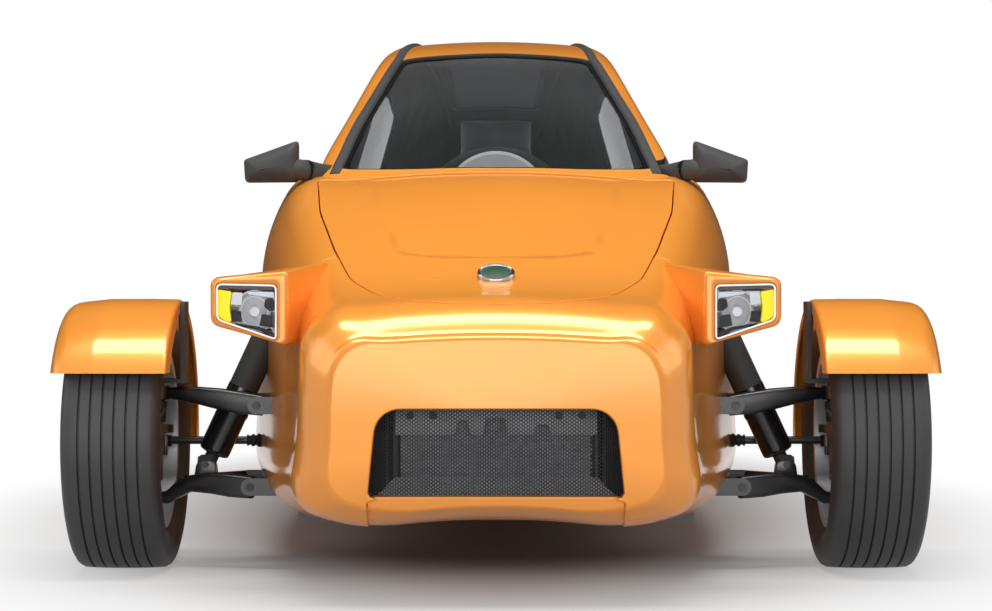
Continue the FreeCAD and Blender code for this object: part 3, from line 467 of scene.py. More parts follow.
def panel_pieces(patch, thickness, paint, lining, round_over=1.6, rim_paint=None):
    """A closed panel: outer skin, rolled edge, rim and lining."""
    edges = patch.edges()
    outward = {}
    for i, j in edges:
        d = patch.verts[j] - patch.verts[i]
        side = np.cross(d, patch.normals[i] + patch.normals[j])
        length = np.linalg.norm(side)
        if length < 1e-9:
            continue
        side = side / length
        for k in (i, j):
            outward[k] = outward.get(k, 0) + side
    rim_index, verts, normals = {}, [], []
    for k, side in outward.items():
        side = side / max(np.linalg.norm(side), 1e-9)
        n, p = patch.normals[k], patch.verts[k]
        rim_index[k] = len(verts)
        blend = normed(n + side)
        verts += [p, p - n * round_over * 0.3 + side * round_over * 0.7, p - n * round_over + side * round_over,
                  p - n * thickness + side * round_over]
        normals += [n, blend, side, side]
    faces = []
    for i, j in edges:
        if i in rim_index and j in rim_index:
            a, b = rim_index[i], rim_index[j]
            for level in range(3):
                faces.append([b + level, a + level, a + level + 1, b + level + 1])
    inner = patch.moved(thickness)
    pieces = [(patch.verts, patch.normals, patch.faces, paint)]
    if faces:
        pieces.append((verts, normals, faces, rim_paint or paint))
    pieces.append((inner.verts, -inner.normals, [face[::-1] for face in inner.faces], lining))
    return pieces


def ring_clearance(patch, sections, width, base_z):
    """Signed distance in its own cross-section from each vertex to the other shell's section there, negative inside."""
    verts = patch.verts
    station = verts[:, 1] - FRONT_AXLE_Y
    rounded_station = np.round(station, 3)
    value = np.full(len(verts), FAR)
    low, high = width
    rows = BODY_ROWS if sections is body_half else CANOPY_ROWS
    for s in np.unique(rounded_station):
        half = sections(spline_rows(rows, [min(max(s, low), high)])[0])
        if base_z is None:
            corners = half + [(-x, z) for x, z in reversed(half[1:-1])]
        else:
            side = half + [(half[-1][0], base_z)]
            corners = side + [(-x, z) for x, z in reversed(side)]
        here = rounded_station == s
        value[here] = line_distance(np.array(corners), verts[here][:, [0, 2]])
    return np.maximum(value, np.maximum(low - station, station - high))


def line_distance(line, points):
    """Signed distance to a closed polyline, negative inside."""
    nxt = np.roll(line, -1, axis=0)
    best = np.full(len(points), 1e9)
    inside = np.zeros(len(points), bool)
    for a, b in zip(line, nxt):
        d = b - a
        span = d @ d
        if span < 1e-12:
            continue
        t = np.clip(((points - a) @ d) / span, 0, 1)
        best = np.minimum(best, np.linalg.norm(points - a - t[:, None] * d, axis=1))
        crosses = (a[1] > points[:, 1]) != (b[1] > points[:, 1])
        if crosses.any() and abs(d[1]) > 1e-12:
            hit = a[0] + (points[:, 1] - a[1]) / d[1] * d[0]
            inside ^= crosses & (points[:, 0] < hit)
    return np.where(inside, -best, best)


# ---- materials
def material(name):
    if name in bpy.data.materials:
        return bpy.data.materials[name]
    raise RuntimeError("material not made yet: " + name)


def feed(tree, target, inputs):
    """Set a node's inputs, each to a value or from the socket that feeds it."""
    for key, value in inputs.items():
        if isinstance(value, bpy.types.NodeSocket):
            tree.links.new(value, target.inputs[key])
        else:
            target.inputs[key].default_value = value


def node(tree, kind, inputs=None, **own):
    """A new node with its own settings and its inputs."""
    made = tree.nodes.new(kind)
    for name, value in own.items():
        setattr(made, name, value)
    feed(tree, made, inputs or {})
    return made


def effect_group(name, inputs, outputs, build):
    """A shader node group with named sockets, made once."""
    if name in bpy.data.node_groups:
        return bpy.data.node_groups[name]
    tree = bpy.data.node_groups.new(name, "ShaderNodeTree")
    for label, kind, default in inputs:
        socket = tree.interface.new_socket(label, in_out="INPUT", socket_type=kind)
        socket.default_value = default
    for label, kind in outputs:
        tree.interface.new_socket(label, in_out="OUTPUT", socket_type=kind)
    build(tree, tree.nodes.new("NodeGroupInput"), tree.nodes.new("NodeGroupOutput"))
    return tree


def add_noise(tree, scale, detail):
    """Noise on object coordinates."""
    place = node(tree, "ShaderNodeTexCoord").outputs["Object"]
    return node(tree, "ShaderNodeTexNoise", {"Vector": place, "Scale": scale, "Detail": detail}).outputs["Fac"]


def build_mottle(tree, given, result):
    noise = add_noise(tree, given.outputs["Scale"], 3.0)
    ramp = node(tree, "ShaderNodeMapRange", {"Value": noise, "From Min": 0.3, "From Max": 0.7})
    mix = node(tree, "ShaderNodeMix", {
        "Factor": ramp.outputs["Result"], "A": given.outputs["Base"], "B": given.outputs["Second"]}, data_type="RGBA")
    rough = node(tree, "ShaderNodeMapRange", {
        "Value": noise, "From Min": 0.25, "From Max": 0.75, "To Min": given.outputs["Smooth"],
        "To Max": given.outputs["Rough"]})
    feed(tree, result, {"Color": mix.outputs["Result"], "Roughness": rough.outputs["Result"]})


def build_grain(tree, given, result):
    feed(tree, result, {"Height": add_noise(tree, given.outputs["Scale"], 4.0)})


def build_weave(tree, given, result):
    """Two crossed sets of threads on object coordinates."""
    threads = {"Vector": node(tree, "ShaderNodeTexCoord").outputs["Object"], "Scale": given.outputs["Scale"],
               "Distortion": 0.6, "Detail": 1.0}
    across, along = (node(tree, "ShaderNodeTexWave", threads, bands_direction=axis).outputs["Fac"] for axis in "XZ")
    top = node(tree, "ShaderNodeMath", {0: across, 1: along}, operation="MAXIMUM")
    feed(tree, result, {"Height": top.outputs[0]})


COLOUR, NUMBER = "NodeSocketColor", "NodeSocketFloat"


def mottle():
    grey = (0.5, 0.5, 0.5, 1)
    return effect_group(
        "mottle", [("Base", COLOUR, grey), ("Second", COLOUR, grey), ("Scale", NUMBER, 8.0), ("Smooth", NUMBER, 0.3),
                   ("Rough", NUMBER, 0.4)], [("Color", COLOUR), ("Roughness", NUMBER)], build_mottle)


def grain():
    return effect_group("grain", [("Scale", NUMBER, 400.0)], [("Height", NUMBER)], build_grain)


def weave():
    return effect_group("weave", [("Scale", NUMBER, 160.0)], [("Height", NUMBER)], build_weave)


def srgb(red, green, blue):
    """A screen colour as the renderer's linear one."""
    def linear(c):
        c /= 255
        return c / 12.92 if c <= 0.04045 else ((c + 0.055) / 1.055) ** 2.4
    return (linear(red), linear(green), linear(blue), 1.0)


def new_material(name):
    mat = bpy.data.materials.new(name)
    mat.use_nodes = True
    return mat, mat.node_tree, mat.node_tree.nodes["Principled BSDF"]


def finish_material(name, base, second, rough, scale, bump=None, metallic=0.0, relief=grain, **own):
    """A finish: mottled colour and roughness, a fine relief, and constants on the shader's own sockets."""
    mat, tree, shader = new_material(name)
    mat.diffuse_color = base
    tone = node(tree, "ShaderNodeGroup", {"Base": base, "Second": second, "Scale": scale, "Smooth": rough[0],
                                          "Rough": rough[1]}, node_tree=mottle())
    feed(tree, shader, {"Base Color": tone.outputs["Color"], "Roughness": tone.outputs["Roughness"],
                        "Metallic": metallic})
    if bump:
        fine = node(tree, "ShaderNodeGroup", {"Scale": bump[0]}, node_tree=relief())
        lift = node(tree, "ShaderNodeBump", {
            "Strength": bump[1], "Distance": bump[2], "Height": fine.outputs["Height"]})
        feed(tree, shader, {"Normal": lift.outputs["Normal"]})
    feed(tree, shader, {socket.replace("_", " "): value for socket, value in own.items()})


# finish: colour, second colour, roughness from and to, scale, relief, metallic, the shader's own sockets
FINISHES = {
    "shell_lining": ((56, 56, 58), (48, 48, 50), (0.7, 0.85), 12.0, (260.0, 0.3, 0.001)),
    "satin_steel": ((19, 19, 20), (13, 13, 14), (0.26, 0.38), 18.0, (700.0, 0.12, 0.0004),
        {"Coat_Weight": 0.3, "Coat_Roughness": 0.25}),
    "mesh_black": ((13, 13, 14), (18, 18, 18), (0.35, 0.45), 40.0),
    "rubber": ((50, 50, 52), (43, 43, 45), (0.5, 0.62), 10.0, (600.0, 0.2, 0.0006)),
    "sidewall_rubber": ((44, 44, 46), (36, 36, 38), (0.5, 0.62), 14.0, (500.0, 0.15, 0.0005)),
    "rim_alloy": ((226, 227, 230), (206, 207, 210), (0.24, 0.36), 16.0, (900.0, 0.05, 0.0002), 0.55),
    "disc_iron": ((150, 150, 152), (110, 108, 106), (0.28, 0.45), 30.0, (400.0, 0.2, 0.0003), 1.0),
    "cast_metal": ((118, 118, 120), (96, 96, 98), (0.45, 0.6), 22.0, (300.0, 0.35, 0.0008), 1.0),
    "caliper_black": ((34, 34, 36), (26, 26, 28), (0.4, 0.55), 22.0, (300.0, 0.3, 0.0006)),
    # the fins' metal is made lighter than its own: partly painted light for the light the mesh keeps out
    "fin_metal": ((158, 160, 164), (132, 134, 138), (0.4, 0.6), 60.0, (220.0, 0.5, 0.001), 0.2),
    "chrome": ((226, 228, 232), (206, 208, 212), (0.05, 0.12), 20.0, None, 1.0),
    "lamp_grey": ((92, 93, 96), (84, 85, 88), (0.3, 0.4), 30.0),
    "lamp_dark": ((10, 10, 11), (6, 6, 7), (0.25, 0.35), 30.0),
    "signal_yellow": ((255, 232, 20), (250, 222, 10), (0.2, 0.3), 20.0,
        {"Emission_Color": srgb(255, 226, 0), "Emission_Strength": 0.35}),
    "mirror_face": ((214, 220, 226), (206, 212, 218), (0.02, 0.04), 10.0, None, 1.0),
    "seat_cloth": ((124, 124, 126), (108, 108, 110), (0.75, 0.9), 20.0, (190.0, 0.5, 0.0012), 0.0, weave,
        {"Sheen_Weight": 0.4}),
    "dash_skin": ((38, 38, 40), (31, 31, 33), (0.55, 0.7), 16.0, (320.0, 0.4, 0.001)),
    "binnacle_grey": ((244, 244, 245), (232, 232, 233), (0.5, 0.6), 16.0, (320.0, 0.3, 0.001)),
    "grip_leather": ((34, 34, 35), (26, 26, 27), (0.45, 0.6), 30.0, (420.0, 0.5, 0.0008)),
    "tail_red": ((150, 14, 14), (120, 8, 8), (0.1, 0.2), 24.0, (90.0, 0.4, 0.0015),
        {"Coat_Weight": 1.0, "Coat_Roughness": 0.04}),
    "badge_metal": ((176, 178, 182), (156, 158, 162), (0.16, 0.26), 40.0, None, 1.0),
    "badge_face": ((26, 62, 40), (20, 52, 33), (0.4, 0.5), 40.0, {"Specular_IOR_Level": 0.3}),
    "bolt_zinc": ((62, 62, 64), (48, 48, 50), (0.3, 0.45), 60.0, None, 0.8),
    "black_frit": ((16, 16, 17), (12, 12, 13), (0.12, 0.16), 20.0),
    "carpet": ((44, 44, 46), (34, 34, 36), (0.9, 1.0), 30.0, (500.0, 0.8, 0.002)),
    "plate_white": ((222, 222, 218), (212, 212, 208), (0.4, 0.5), 20.0, (200.0, 0.1, 0.0004)),
    # the duct's grey is made lighter than its own: partly painted light for the light the mesh keeps out
    "duct_grey": ((186, 188, 192), (170, 172, 176), (0.45, 0.6), 20.0, (300.0, 0.2, 0.0006)),
    "damper_black": ((20, 20, 22), (14, 14, 16), (0.2, 0.3), 16.0, (600.0, 0.06, 0.0003),
        {"Coat_Weight": 0.5, "Coat_Roughness": 0.12}),
    "boot_rubber": ((24, 24, 26), (18, 18, 20), (0.45, 0.58), 30.0, (500.0, 0.15, 0.0004)),
    # This white glows: on the bulb it is the lamp's light, on the bezel ring it is a painted highlight
    "bulb_glow": ((240, 242, 246), (228, 230, 236), (0.1, 0.18), 20.0,
        {"Emission_Color": srgb(255, 250, 240), "Emission_Strength": 0.25}),
}


def make_materials(colours):
    paint = tuple(colours.paint) + (1.0,)
    deep = tuple(c * 0.93 for c in colours.paint) + (1.0,)
    finish_material("orange_paint", paint, deep, (0.27, 0.32), 3.0, (900.0, 0.04, 0.0004), 0.26,
                    Specular_IOR_Level=0.15, Coat_Weight=0.6, Coat_Roughness=0.1, Coat_IOR=1.5)
    dark = tuple(colours.trim) + (1.0,)
    finish_material("black_trim", dark, srgb(40, 40, 42), (0.32, 0.42), 14.0, (500.0, 0.12, 0.0005))
    for name, (base, second, *rest) in FINISHES.items():
        own = rest.pop() if isinstance(rest[-1], dict) else {}
        finish_material(name, srgb(*base), srgb(*second), *rest, **own)
    make_glass("tinted_glass", srgb(228, 230, 232), 1.1)
    make_glass("dark_glass", srgb(34, 35, 37), 1.07)
    make_glass("lens_clear", srgb(252, 253, 255), 1.1)


def make_glass(name, tint, bend):
    """Clear pane: the tint is on the shader, and a faint haze comes and goes over it."""
    mat, tree, shader = new_material(name)
    mat.diffuse_color = tint
    haze = node(tree, "ShaderNodeGroup", {"Smooth": 0.0, "Rough": 0.01}, node_tree=mottle())
    feed(tree, shader, {"Base Color": tint, "Metallic": 0.0, "Transmission Weight": 1.0, "IOR": bend,
                        "Roughness": haze.outputs["Roughness"]})


# ---- painted panels
NOSE_SPLIT = -255.0
SKIN_GAP = 5.0
HINGE_ROOM = 8.0
SKIN = 20.0
CANOPY_SKIN = 14.0


def hinge_side(outline, moves):
    """An outline whose hinge edge is moved out by the room that the hinges need."""
    return [(u + moves(u, v)[0], v + moves(u, v)[1], radius) for u, v, radius in outline]


def hood_opening(verts):
    return hood_field(verts, hinge_side(HOOD, lambda u, v: (0, HINGE_ROOM if v > 214 else 0)), SKIN_GAP)


def hatch_opening(verts):
    return hatch_field(verts, hinge_side(HATCH, lambda u, v: (0, -HINGE_ROOM if v < 1901 else 0)), SKIN_GAP)


def door_opening(verts):
    return door_field(verts, hinge_side(DOOR, lambda u, v: (-HINGE_ROOM if u < 431 else 0, 0)), SKIN_GAP)


def wheel_well(verts):
    x, s, z = parts_of(verts)
    ds = s - REAR_S
    reach = np.where(z > REAR_R, np.hypot(ds, z - REAR_R), np.abs(ds)) - 334
    return np.where(z < 600, np.maximum(reach, np.abs(x) - 154), FAR)


def bar_hole(verts, start, end, radius):
    """Distance outside a round bar between two points."""
    a, b = np.array(start, float), np.array(end, float)
    d = b - a
    t = np.clip(((verts - a) @ d) / (d @ d), 0, 1)
    return np.linalg.norm(verts - a - t[:, None] * d, axis=1) - radius


def grille_field(verts):
    x, s, z = parts_of(verts)
    return np.where(s < -560, field(GRILLE, x, z), FAR)


def lip_field(verts):
    """Inside where the lower lip stands back under the grille."""
    x, s, z = parts_of(verts)
    return np.where(s < -470, np.maximum(np.abs(x) - 225, z - 185.5), FAR)


def sunk(patch, outline, depth, width):
    """A patch let down by a depth inside an outline, over a soft step."""
    def fall(dx, ds):
        part = np.clip(0.5 - plan_field(patch.verts + np.array([dx, ds, 0.0]), outline) / width, 0, 1)
        return depth * part * part * (3 - 2 * part)
    drop = fall(0, 0)
    slope = np.stack([fall(1, 0) - drop, fall(0, 1) - drop, np.zeros(len(drop))], axis=1)
    normals = patch.normals + slope
    normals /= np.linalg.norm(normals, axis=1, keepdims=True)
    return Patch(patch.verts - patch.normals * drop[:, None], normals, patch.faces)


def build_panels():
    paint, lining = "orange_paint", "shell_lining"
    whole_body, whole_canopy = body_patch(), canopy_patch()
    body = whole_body.clip(ring_clearance(whole_body, canopy_half, (110, 3330), 600) + 8, False)
    canopy = whole_canopy.clip(ring_clearance(whole_canopy, body_half, (-630, 3438), None) + 8, False)
    made = {}

    hood = sunk(body.clip(hood_field(body.verts)), HOOD_CREASE, 4.5, 18.0)
    made["hood_skin"] = panel_pieces(hood, SKIN, paint, lining, 0.8)
    body, canopy = body.cut(hood_opening), canopy.cut(hood_opening)

    door = body.clip(door_field(body.verts))
    door_top = canopy.clip(door_field(canopy.verts)).cut(side_field, DOOR_WINDOW, 1)
    made["door_skin"] = panel_pieces(door, SKIN, paint, lining) + panel_pieces(
        door_top, CANOPY_SKIN, paint, lining, rim_paint=lining)
    body, canopy = body.cut(door_opening), canopy.cut(door_opening)

    hatch = canopy.clip(hatch_field(canopy.verts)).cut(plan_field, HATCH_WINDOW)
    made["hatch_skin"] = panel_pieces(hatch, CANOPY_SKIN, paint, lining, rim_paint=lining)
    canopy = canopy.cut(hatch_opening)
    for outline, side in ((QUARTER, 1), (QUARTER, -1), (DOOR_WINDOW, -1)):
        canopy = canopy.cut(side_field, outline, side)
    canopy = canopy.cut(plan_field, WINDSHIELD)
    made["roof_skin"] = panel_pieces(canopy, CANOPY_SKIN, paint, lining, rim_paint=lining)

    body = body.cut(wheel_well)
    for side in (1, -1):
        body = body.cut(bar_hole, (side * 580, y_at(60), 194), (side * 452, y_at(60), 470), 31)
        body = body.cut(bar_hole, (side * 300, y_at(120), 244.5), (side * 600, y_at(120), 244.5), 14)
    nose = body.clip(parts_of(body.verts)[1] - (NOSE_SPLIT - 1.2)).cut(grille_field)
    lip = nose.clip(lip_field(nose.verts) + 1.0)
    lip = Patch(lip.verts + np.array([0.0, 13.0, 2.0]), lip.normals, lip.faces)
    made["nose_skin"] = panel_pieces(nose.cut(lip_field), SKIN, paint, lining, 3.0) + panel_pieces(
        lip, SKIN, paint, lining, 3.0)
    shell = body.clip(parts_of(body.verts)[1] - (NOSE_SPLIT + 1.2), False)
    made["body_skin"] = panel_pieces(shell, SKIN, paint, lining)
    return made


# ---- shapes in metres
def link_mesh(name, verts, faces, mats, slots=None):
    """An object at the origin from points in millimetres."""
    mesh = bpy.data.meshes.new(name)
    mesh.from_pydata([tuple(float(c) * MM for c in v) for v in verts], [], faces)
    for mat in mats:
        mesh.materials.append(material(mat))
    if slots:
        mesh.polygons.foreach_set("material_index", slots)
    mesh.polygons.foreach_set("use_smooth", [True] * len(faces))
    mesh.update()
    return linked(name, mesh)


def outward(obj):
    """Faces turned outward on a closed shape, doubles merged first."""
    bm = bmesh.new()
    bm.from_mesh(obj.data)
    bmesh.ops.remove_doubles(bm, verts=bm.verts, dist=1e-6)
    bmesh.ops.recalc_face_normals(bm, faces=bm.faces)
    bm.to_mesh(obj.data)
    bm.free()
    obj.data.update()
    return obj


def sharpen(obj, degrees):
    """Smooth shading, but sharp where faces meet at more than that."""
    bm = bmesh.new()
    bm.from_mesh(obj.data)
    for edge in bm.edges:
        if len(edge.link_faces) == 2:
            edge.smooth = edge.calc_face_angle(0.0) < math.radians(degrees)
    for face in bm.faces:
        face.smooth = True
    bm.to_mesh(obj.data)
    bm.free()
    return obj


def angles(count):
    return [2 * math.pi * k / count for k in range(count)]


def band(rows, n, ring=False):
    """Quads between rows of n points each, and from the last row back to the first if ring."""
    return [[i * n + k, i * n + (k + 1) % n, (i + 1) % rows * n + (k + 1) % n, (i + 1) % rows * n + k]
            for i in range(rows if ring else rows - 1) for k in range(n)]


def ends(rows, n):
    return [list(range(n))[::-1], [(rows - 1) * n + k for k in range(n)]]


def spin_profile(name, profile, centre, mats, picks, count):
    """A closed profile of (x along the axle, radius) points turned about X; picks gives each run its material."""
    verts, faces, slots = [], [], []
    for i in range(count):
        angle = math.radians(360.0 * i / count)
        for x, r in profile:
            verts.append((centre[0] + x, centre[1] - r * math.cos(angle), centre[2] + r * math.sin(angle)))
    n = len(profile)
    for i in range(count):
        j = (i + 1) % count
        for k in range(n):
            m = (k + 1) % n
            faces.append([i * n + k, j * n + k, j * n + m, i * n + m])
            slots.append(picks[k] if picks else 0)
    return sharpen(outward(link_mesh(name, verts, faces, mats, slots)), 32)


def round_corner(before, here, after, radius, count=6):
    """Points of the arc that rounds one corner of a profile."""
    a, h, b = np.array(before, float), np.array(here, float), np.array(after, float)
    u, v = normed(a - h), normed(b - h)
    half = math.acos(float(np.clip(u @ v, -1, 1))) / 2
    reach = min(radius / math.tan(half), np.linalg.norm(a - h) * 0.48, np.linalg.norm(b - h) * 0.48)
    points = []
    for i in range(count + 1):
        t = i / count
        points.append((1 - t) ** 2 * (h + u * reach) + 2 * t * (1 - t) * h + t * t * (h + v * reach))
    return [tuple(p) for p in points]


def smooth_profile(corners):
    """A profile polygon of (x, r, radius) with its corners rounded."""
    result = []
    count = len(corners)
    for i, (x, r, radius) in enumerate(corners):
        if radius <= 0:
            result.append((x, r))
        else:
            result += round_corner(corners[i - 1][:2], (x, r), corners[(i + 1) % count][:2], radius)
    return result


def lofted(name, rings, mat):
    """Closed rings of points joined one to the next, with flat ends."""
    rows, n = len(rings), len(rings[0])
    verts = [p for ring in rings for p in ring]
    return sharpen(outward(link_mesh(name, verts, band(rows, n) + ends(rows, n), [mat])), 40)


def joined(name, objects):
    """Several finished meshes as one object."""
    bm = bmesh.new()
    mats = []
    mesh = bpy.data.meshes.new(name)
    for obj in objects:
        start = len(bm.faces)
        bm.from_mesh(obj.data)
        bm.faces.ensure_lookup_table()
        own = []
        for mat in obj.data.materials:
            if mat not in mats:
                mats.append(mat)
            own.append(mats.index(mat))
        for face in bm.faces[start:]:
            face.material_index = own[min(face.material_index, len(own) - 1)]
    bm.to_mesh(mesh)
    bm.free()
    for mat in mats:
        mesh.materials.append(mat)
    for obj in objects:
        removed(obj)
    return linked(name, mesh)


def removed(obj):
    old = obj.data
    bpy.data.objects.remove(obj)
    bpy.data.meshes.remove(old)


def mirror_copy(obj, name):
    """The same piece on the other side of the car."""
    mesh = obj.data.copy()
    mesh.name = name
    for vert in mesh.vertices:
        vert.co.x = -vert.co.x
    mesh.flip_normals()
    mesh.update()
    return linked(name, mesh)


def both_sides(obj, name):
    """The left piece and its mirror copy as one object."""
    return joined(name, [obj, mirror_copy(obj, obj.name + "_other")])


def rounded_slab(name, outline_points, place, depth_way, mat, bevel, segments):
    """A plate from an outline, with bevelled edges. place maps (u, v) to millimetres; depth_way is its thickness."""
    line = rounded(outline_points, 4.0)
    base = [np.array(place(u, v), float) for u, v in line]
    top = [p + np.array(depth_way, float) for p in base]
    n = len(base)
    faces = [list(range(n)), [n + k for k in reversed(range(n))]]
    faces += [[k, n + k, n + (k + 1) % n, (k + 1) % n] for k in range(n)]
    obj = outward(link_mesh(name, base + top, faces, [mat]))
    bm = bmesh.new()
    bm.from_mesh(obj.data)
    sharp = [e for e in bm.edges if len(e.link_faces) == 2 and e.calc_face_angle(0) > 0.9]
    bmesh.ops.bevel(bm, geom=sharp, offset=bevel * MM, segments=segments, affect="EDGES", profile=0.5)
    bm.to_mesh(obj.data)
    bm.free()
    return sharpen(obj, 30)


def plate(name, outline_points, s, deep, mat, bevel=0.8, segments=2):
    """An upright plate whose front face stands at a station."""
    return rounded_slab(name, outline_points, lambda u, v: (u, y_at(s), v), (0, deep, 0), mat, bevel, segments)


def tube(name, points, radius, mat, sides, closed=False, taper=None):
    """A round bar through points in millimetres, with flat ends."""
    at = [np.array(p, float) for p in points]
    count = len(at)
    rings, side = [], None
    for i, p in enumerate(at):
        after, before = ((i + 1) % count, i - 1) if closed else (min(i + 1, count - 1), max(i - 1, 0))
        way = normed(at[after] - at[before])
        if side is None:
            helper = np.array([0, 0, 1.0]) if abs(way[2]) < 0.9 else np.array([1.0, 0, 0])
            side = np.cross(way, helper)
        side = normed(side - way * (side @ way))
        other = np.cross(way, side)
        r = radius if taper is None else taper[i]
        rings.append([p + r * (math.cos(a) * side + math.sin(a) * other) for a in angles(sides)])
    verts = [v for ring in rings for v in ring]
    faces = band(count, sides, closed) + ([] if closed else ends(count, sides))
    return sharpen(outward(link_mesh(name, verts, faces, [mat])), 50)


# ---- pieces
WHEEL_X, AXLE_Z, TYRE_R = 728.0, 255.5, 255.5
REAR_S, REAR_R = 2794.0, 290.0


def tyre_section(radius, width, bead, rim_half, grooves, groove_width, groove_depth):
    """Profile (x, r) of a tyre from one bead over the tread to the other, and where the tread's runs are."""
    half = width / 2
    side = [(rim_half, bead), (rim_half + 1, bead + 12), (rim_half + 8, bead + 20), (half - 5, bead + 34),
            (half - 1, bead + 48), (half, radius - 38), (half - 1, radius - 26), (half - 4, radius - 15),
            (half - 9, radius - 7), (half - 17, radius - 2.5)]
    edges = sorted(grooves)
    tread = []
    crown = lambda x: radius - 2.5 * (abs(x) / (half - 17)) ** 3
    for x in edges:
        w, d = groove_width / 2, groove_depth
        tread += [(x - w - 1, crown(x)), (x - w, crown(x) - 1.2), (x - w * 0.7, crown(x) - d),
                  (x + w * 0.7, crown(x) - d), (x + w, crown(x) - 1.2), (x + w + 1, crown(x))]
    profile = side + [(x, r) for x, r in reversed(tread)]
    profile += [(-x, r) for x, r in reversed(side)]
    inner = [(-rim_half + 8, bead + 6), (-half + 14, bead + 50), (-half + 18, radius - 30), (half - 18, radius - 30),
             (half - 14, bead + 50), (rim_half - 8, bead + 6)]
    picks = [1] * 7 + [0] * (len(tread) + 4) + [1] * 7
    profile += inner
    picks += [1] * (len(profile) - len(picks))
    return profile, picks


def build_tyre(name, x, s, z, radius, width, bead, rim_half, sizes):
    grooves = [(k - (sizes.groove_count - 1) / 2) * sizes.groove_pitch * 1000 for k in range(sizes.groove_count)]
    profile, picks = tyre_section(
        radius, width, bead, rim_half, grooves, sizes.groove_width * 1000, sizes.groove_depth * 1000)
    return spin_profile(name, profile, (x, y_at(s), z), ["rubber", "sidewall_rubber"],
                        picks, 160)


def pane_piece(name, border, frit):
    """A pane below the paint with its black printed border."""
    whole = canopy_patch(5.0)
    whole = whole.clip(border(whole.verts))
    inside = border(whole.verts) + frit
    pane = "dark_glass" if name == "hatch_pane" else "tinted_glass"
    return mesh_object(name, panel_pieces(whole.clip(inside), 4.6, pane, pane, 0.0) + panel_pieces(
        whole.clip(inside, False), 4.6, "black_frit", "black_frit", 0.4))


def build_glazing():
    def plan(outline):
        return lambda verts: plan_field(verts, outline, -0.4)

    def flank(outline, side):
        return lambda verts: side_field(verts, outline, side, -0.4)

    made = {name: pane_piece(name, border, frit) for name, border, frit in (
        ("windshield_pane", plan(WINDSHIELD), 16), ("hatch_pane", plan(HATCH_WINDOW), 14),
        ("door_pane", flank(DOOR_WINDOW, 1), 10))}
    made["side_panes"] = joined("side_panes", [pane_piece(name, flank(outline, side), 10) for name, outline, side in (
        ("quarter_left", QUARTER, 1), ("quarter_right", QUARTER, -1), ("window_right", DOOR_WINDOW, -1))])
    return made


# ---- stage
CAMERA_AT, CAMERA_LENS = (0.0, -6.07, 0.518), 85.4


def build_stage(look):
    scene = bpy.context.scene
    scene.view_settings.view_transform = "Standard"
    camera = bpy.data.cameras.new("camera")
    camera.lens, camera.sensor_width = CAMERA_LENS, 36.0
    camera.clip_end = 200.0
    at = linked("camera", camera)
    at.location, at.rotation_euler = CAMERA_AT, (math.radians(90), 0.0, 0.0)
    scene.camera = at
    build_world(look)
    build_floor()
    level, upright = (0.0, 0.0, 0.0), (math.radians(90), 0.0, 0.0)
    side_turn = math.radians(64), math.radians(18)
    dark_card("top_card", (0.0, 3.2, 4.8), (16.0, 9.6), level)
    dark_card("back_card", (0.0, 8.0, 4.4), (44.0, 8.8), upright)
    softbox("overhead_light", (0.0, 0.9, 4.2), (3.6, 5.0), look.overhead_power, level, False)
    softbox("front_light", (0.0, -1.95, 3.4), (3.4, 0.8), look.front_power, level)
    softbox("wall_light", (0.0, -9.5, 1.6), (7.0, 3.0), look.wall_power, (math.radians(84), 0.0, 0.0))
    for name, side in (("left_light", 1), ("right_light", -1)):
        softbox(name, (5.2 * side, -2.2, 2.6), (2.6, 2.6), look.side_power,
                (0.0, side_turn[0] * side, -side_turn[1] * side))


def softbox(name, place, size, watts, turn, mirrored_in_paint=True):
    light = bpy.data.lights.new(name, "AREA")
    light.shape = "RECTANGLE"
    light.size, light.size_y = size
    light.energy = watts
    obj = linked(name, light)
    obj.location, obj.rotation_euler = place, turn
    obj.visible_transmission = False
    obj.visible_glossy = mirrored_in_paint


def dark_card(name, place, size, turn):
    """A dark card that only shines back in the paint and glass, as a studio's black flag does."""
    bpy.ops.mesh.primitive_plane_add(size=1.0, location=place, rotation=turn)
    card = bpy.context.object
    card.name, card.scale = name, (*size, 1.0)
    card.data.materials.append(material("mesh_black"))
    card.visible_camera = card.visible_diffuse = card.visible_transmission = card.visible_shadow = False


def seen_ray(tree):
    """1 for camera, glossy and transmission rays, which see the white background."""
    path = node(tree, "ShaderNodeLightPath")
    value = path.outputs["Is Camera Ray"]
    for other in ("Is Glossy Ray", "Is Transmission Ray"):
        value = node(tree, "ShaderNodeMath", {0: value, 1: path.outputs[other]}, operation="MAXIMUM").outputs[0]
    return value


def build_world(look):
    world = bpy.data.worlds.new("studio")
    bpy.context.scene.world = world
    world.use_nodes = True
    tree = world.node_tree
    tree.nodes.clear()
    soft = node(tree, "ShaderNodeBackground", {"Color": (0.97, 0.98, 1.0, 1.0), "Strength": look.soft_level})
    white = node(tree, "ShaderNodeBackground", {"Color": (1.0, 1.0, 1.0, 1.0), "Strength": 1.0})
    mix = node(tree, "ShaderNodeMixShader", {"Fac": seen_ray(tree), 1: soft.outputs[0], 2: white.outputs[0]})
    node(tree, "ShaderNodeOutputWorld", {"Surface": mix.outputs[0]})


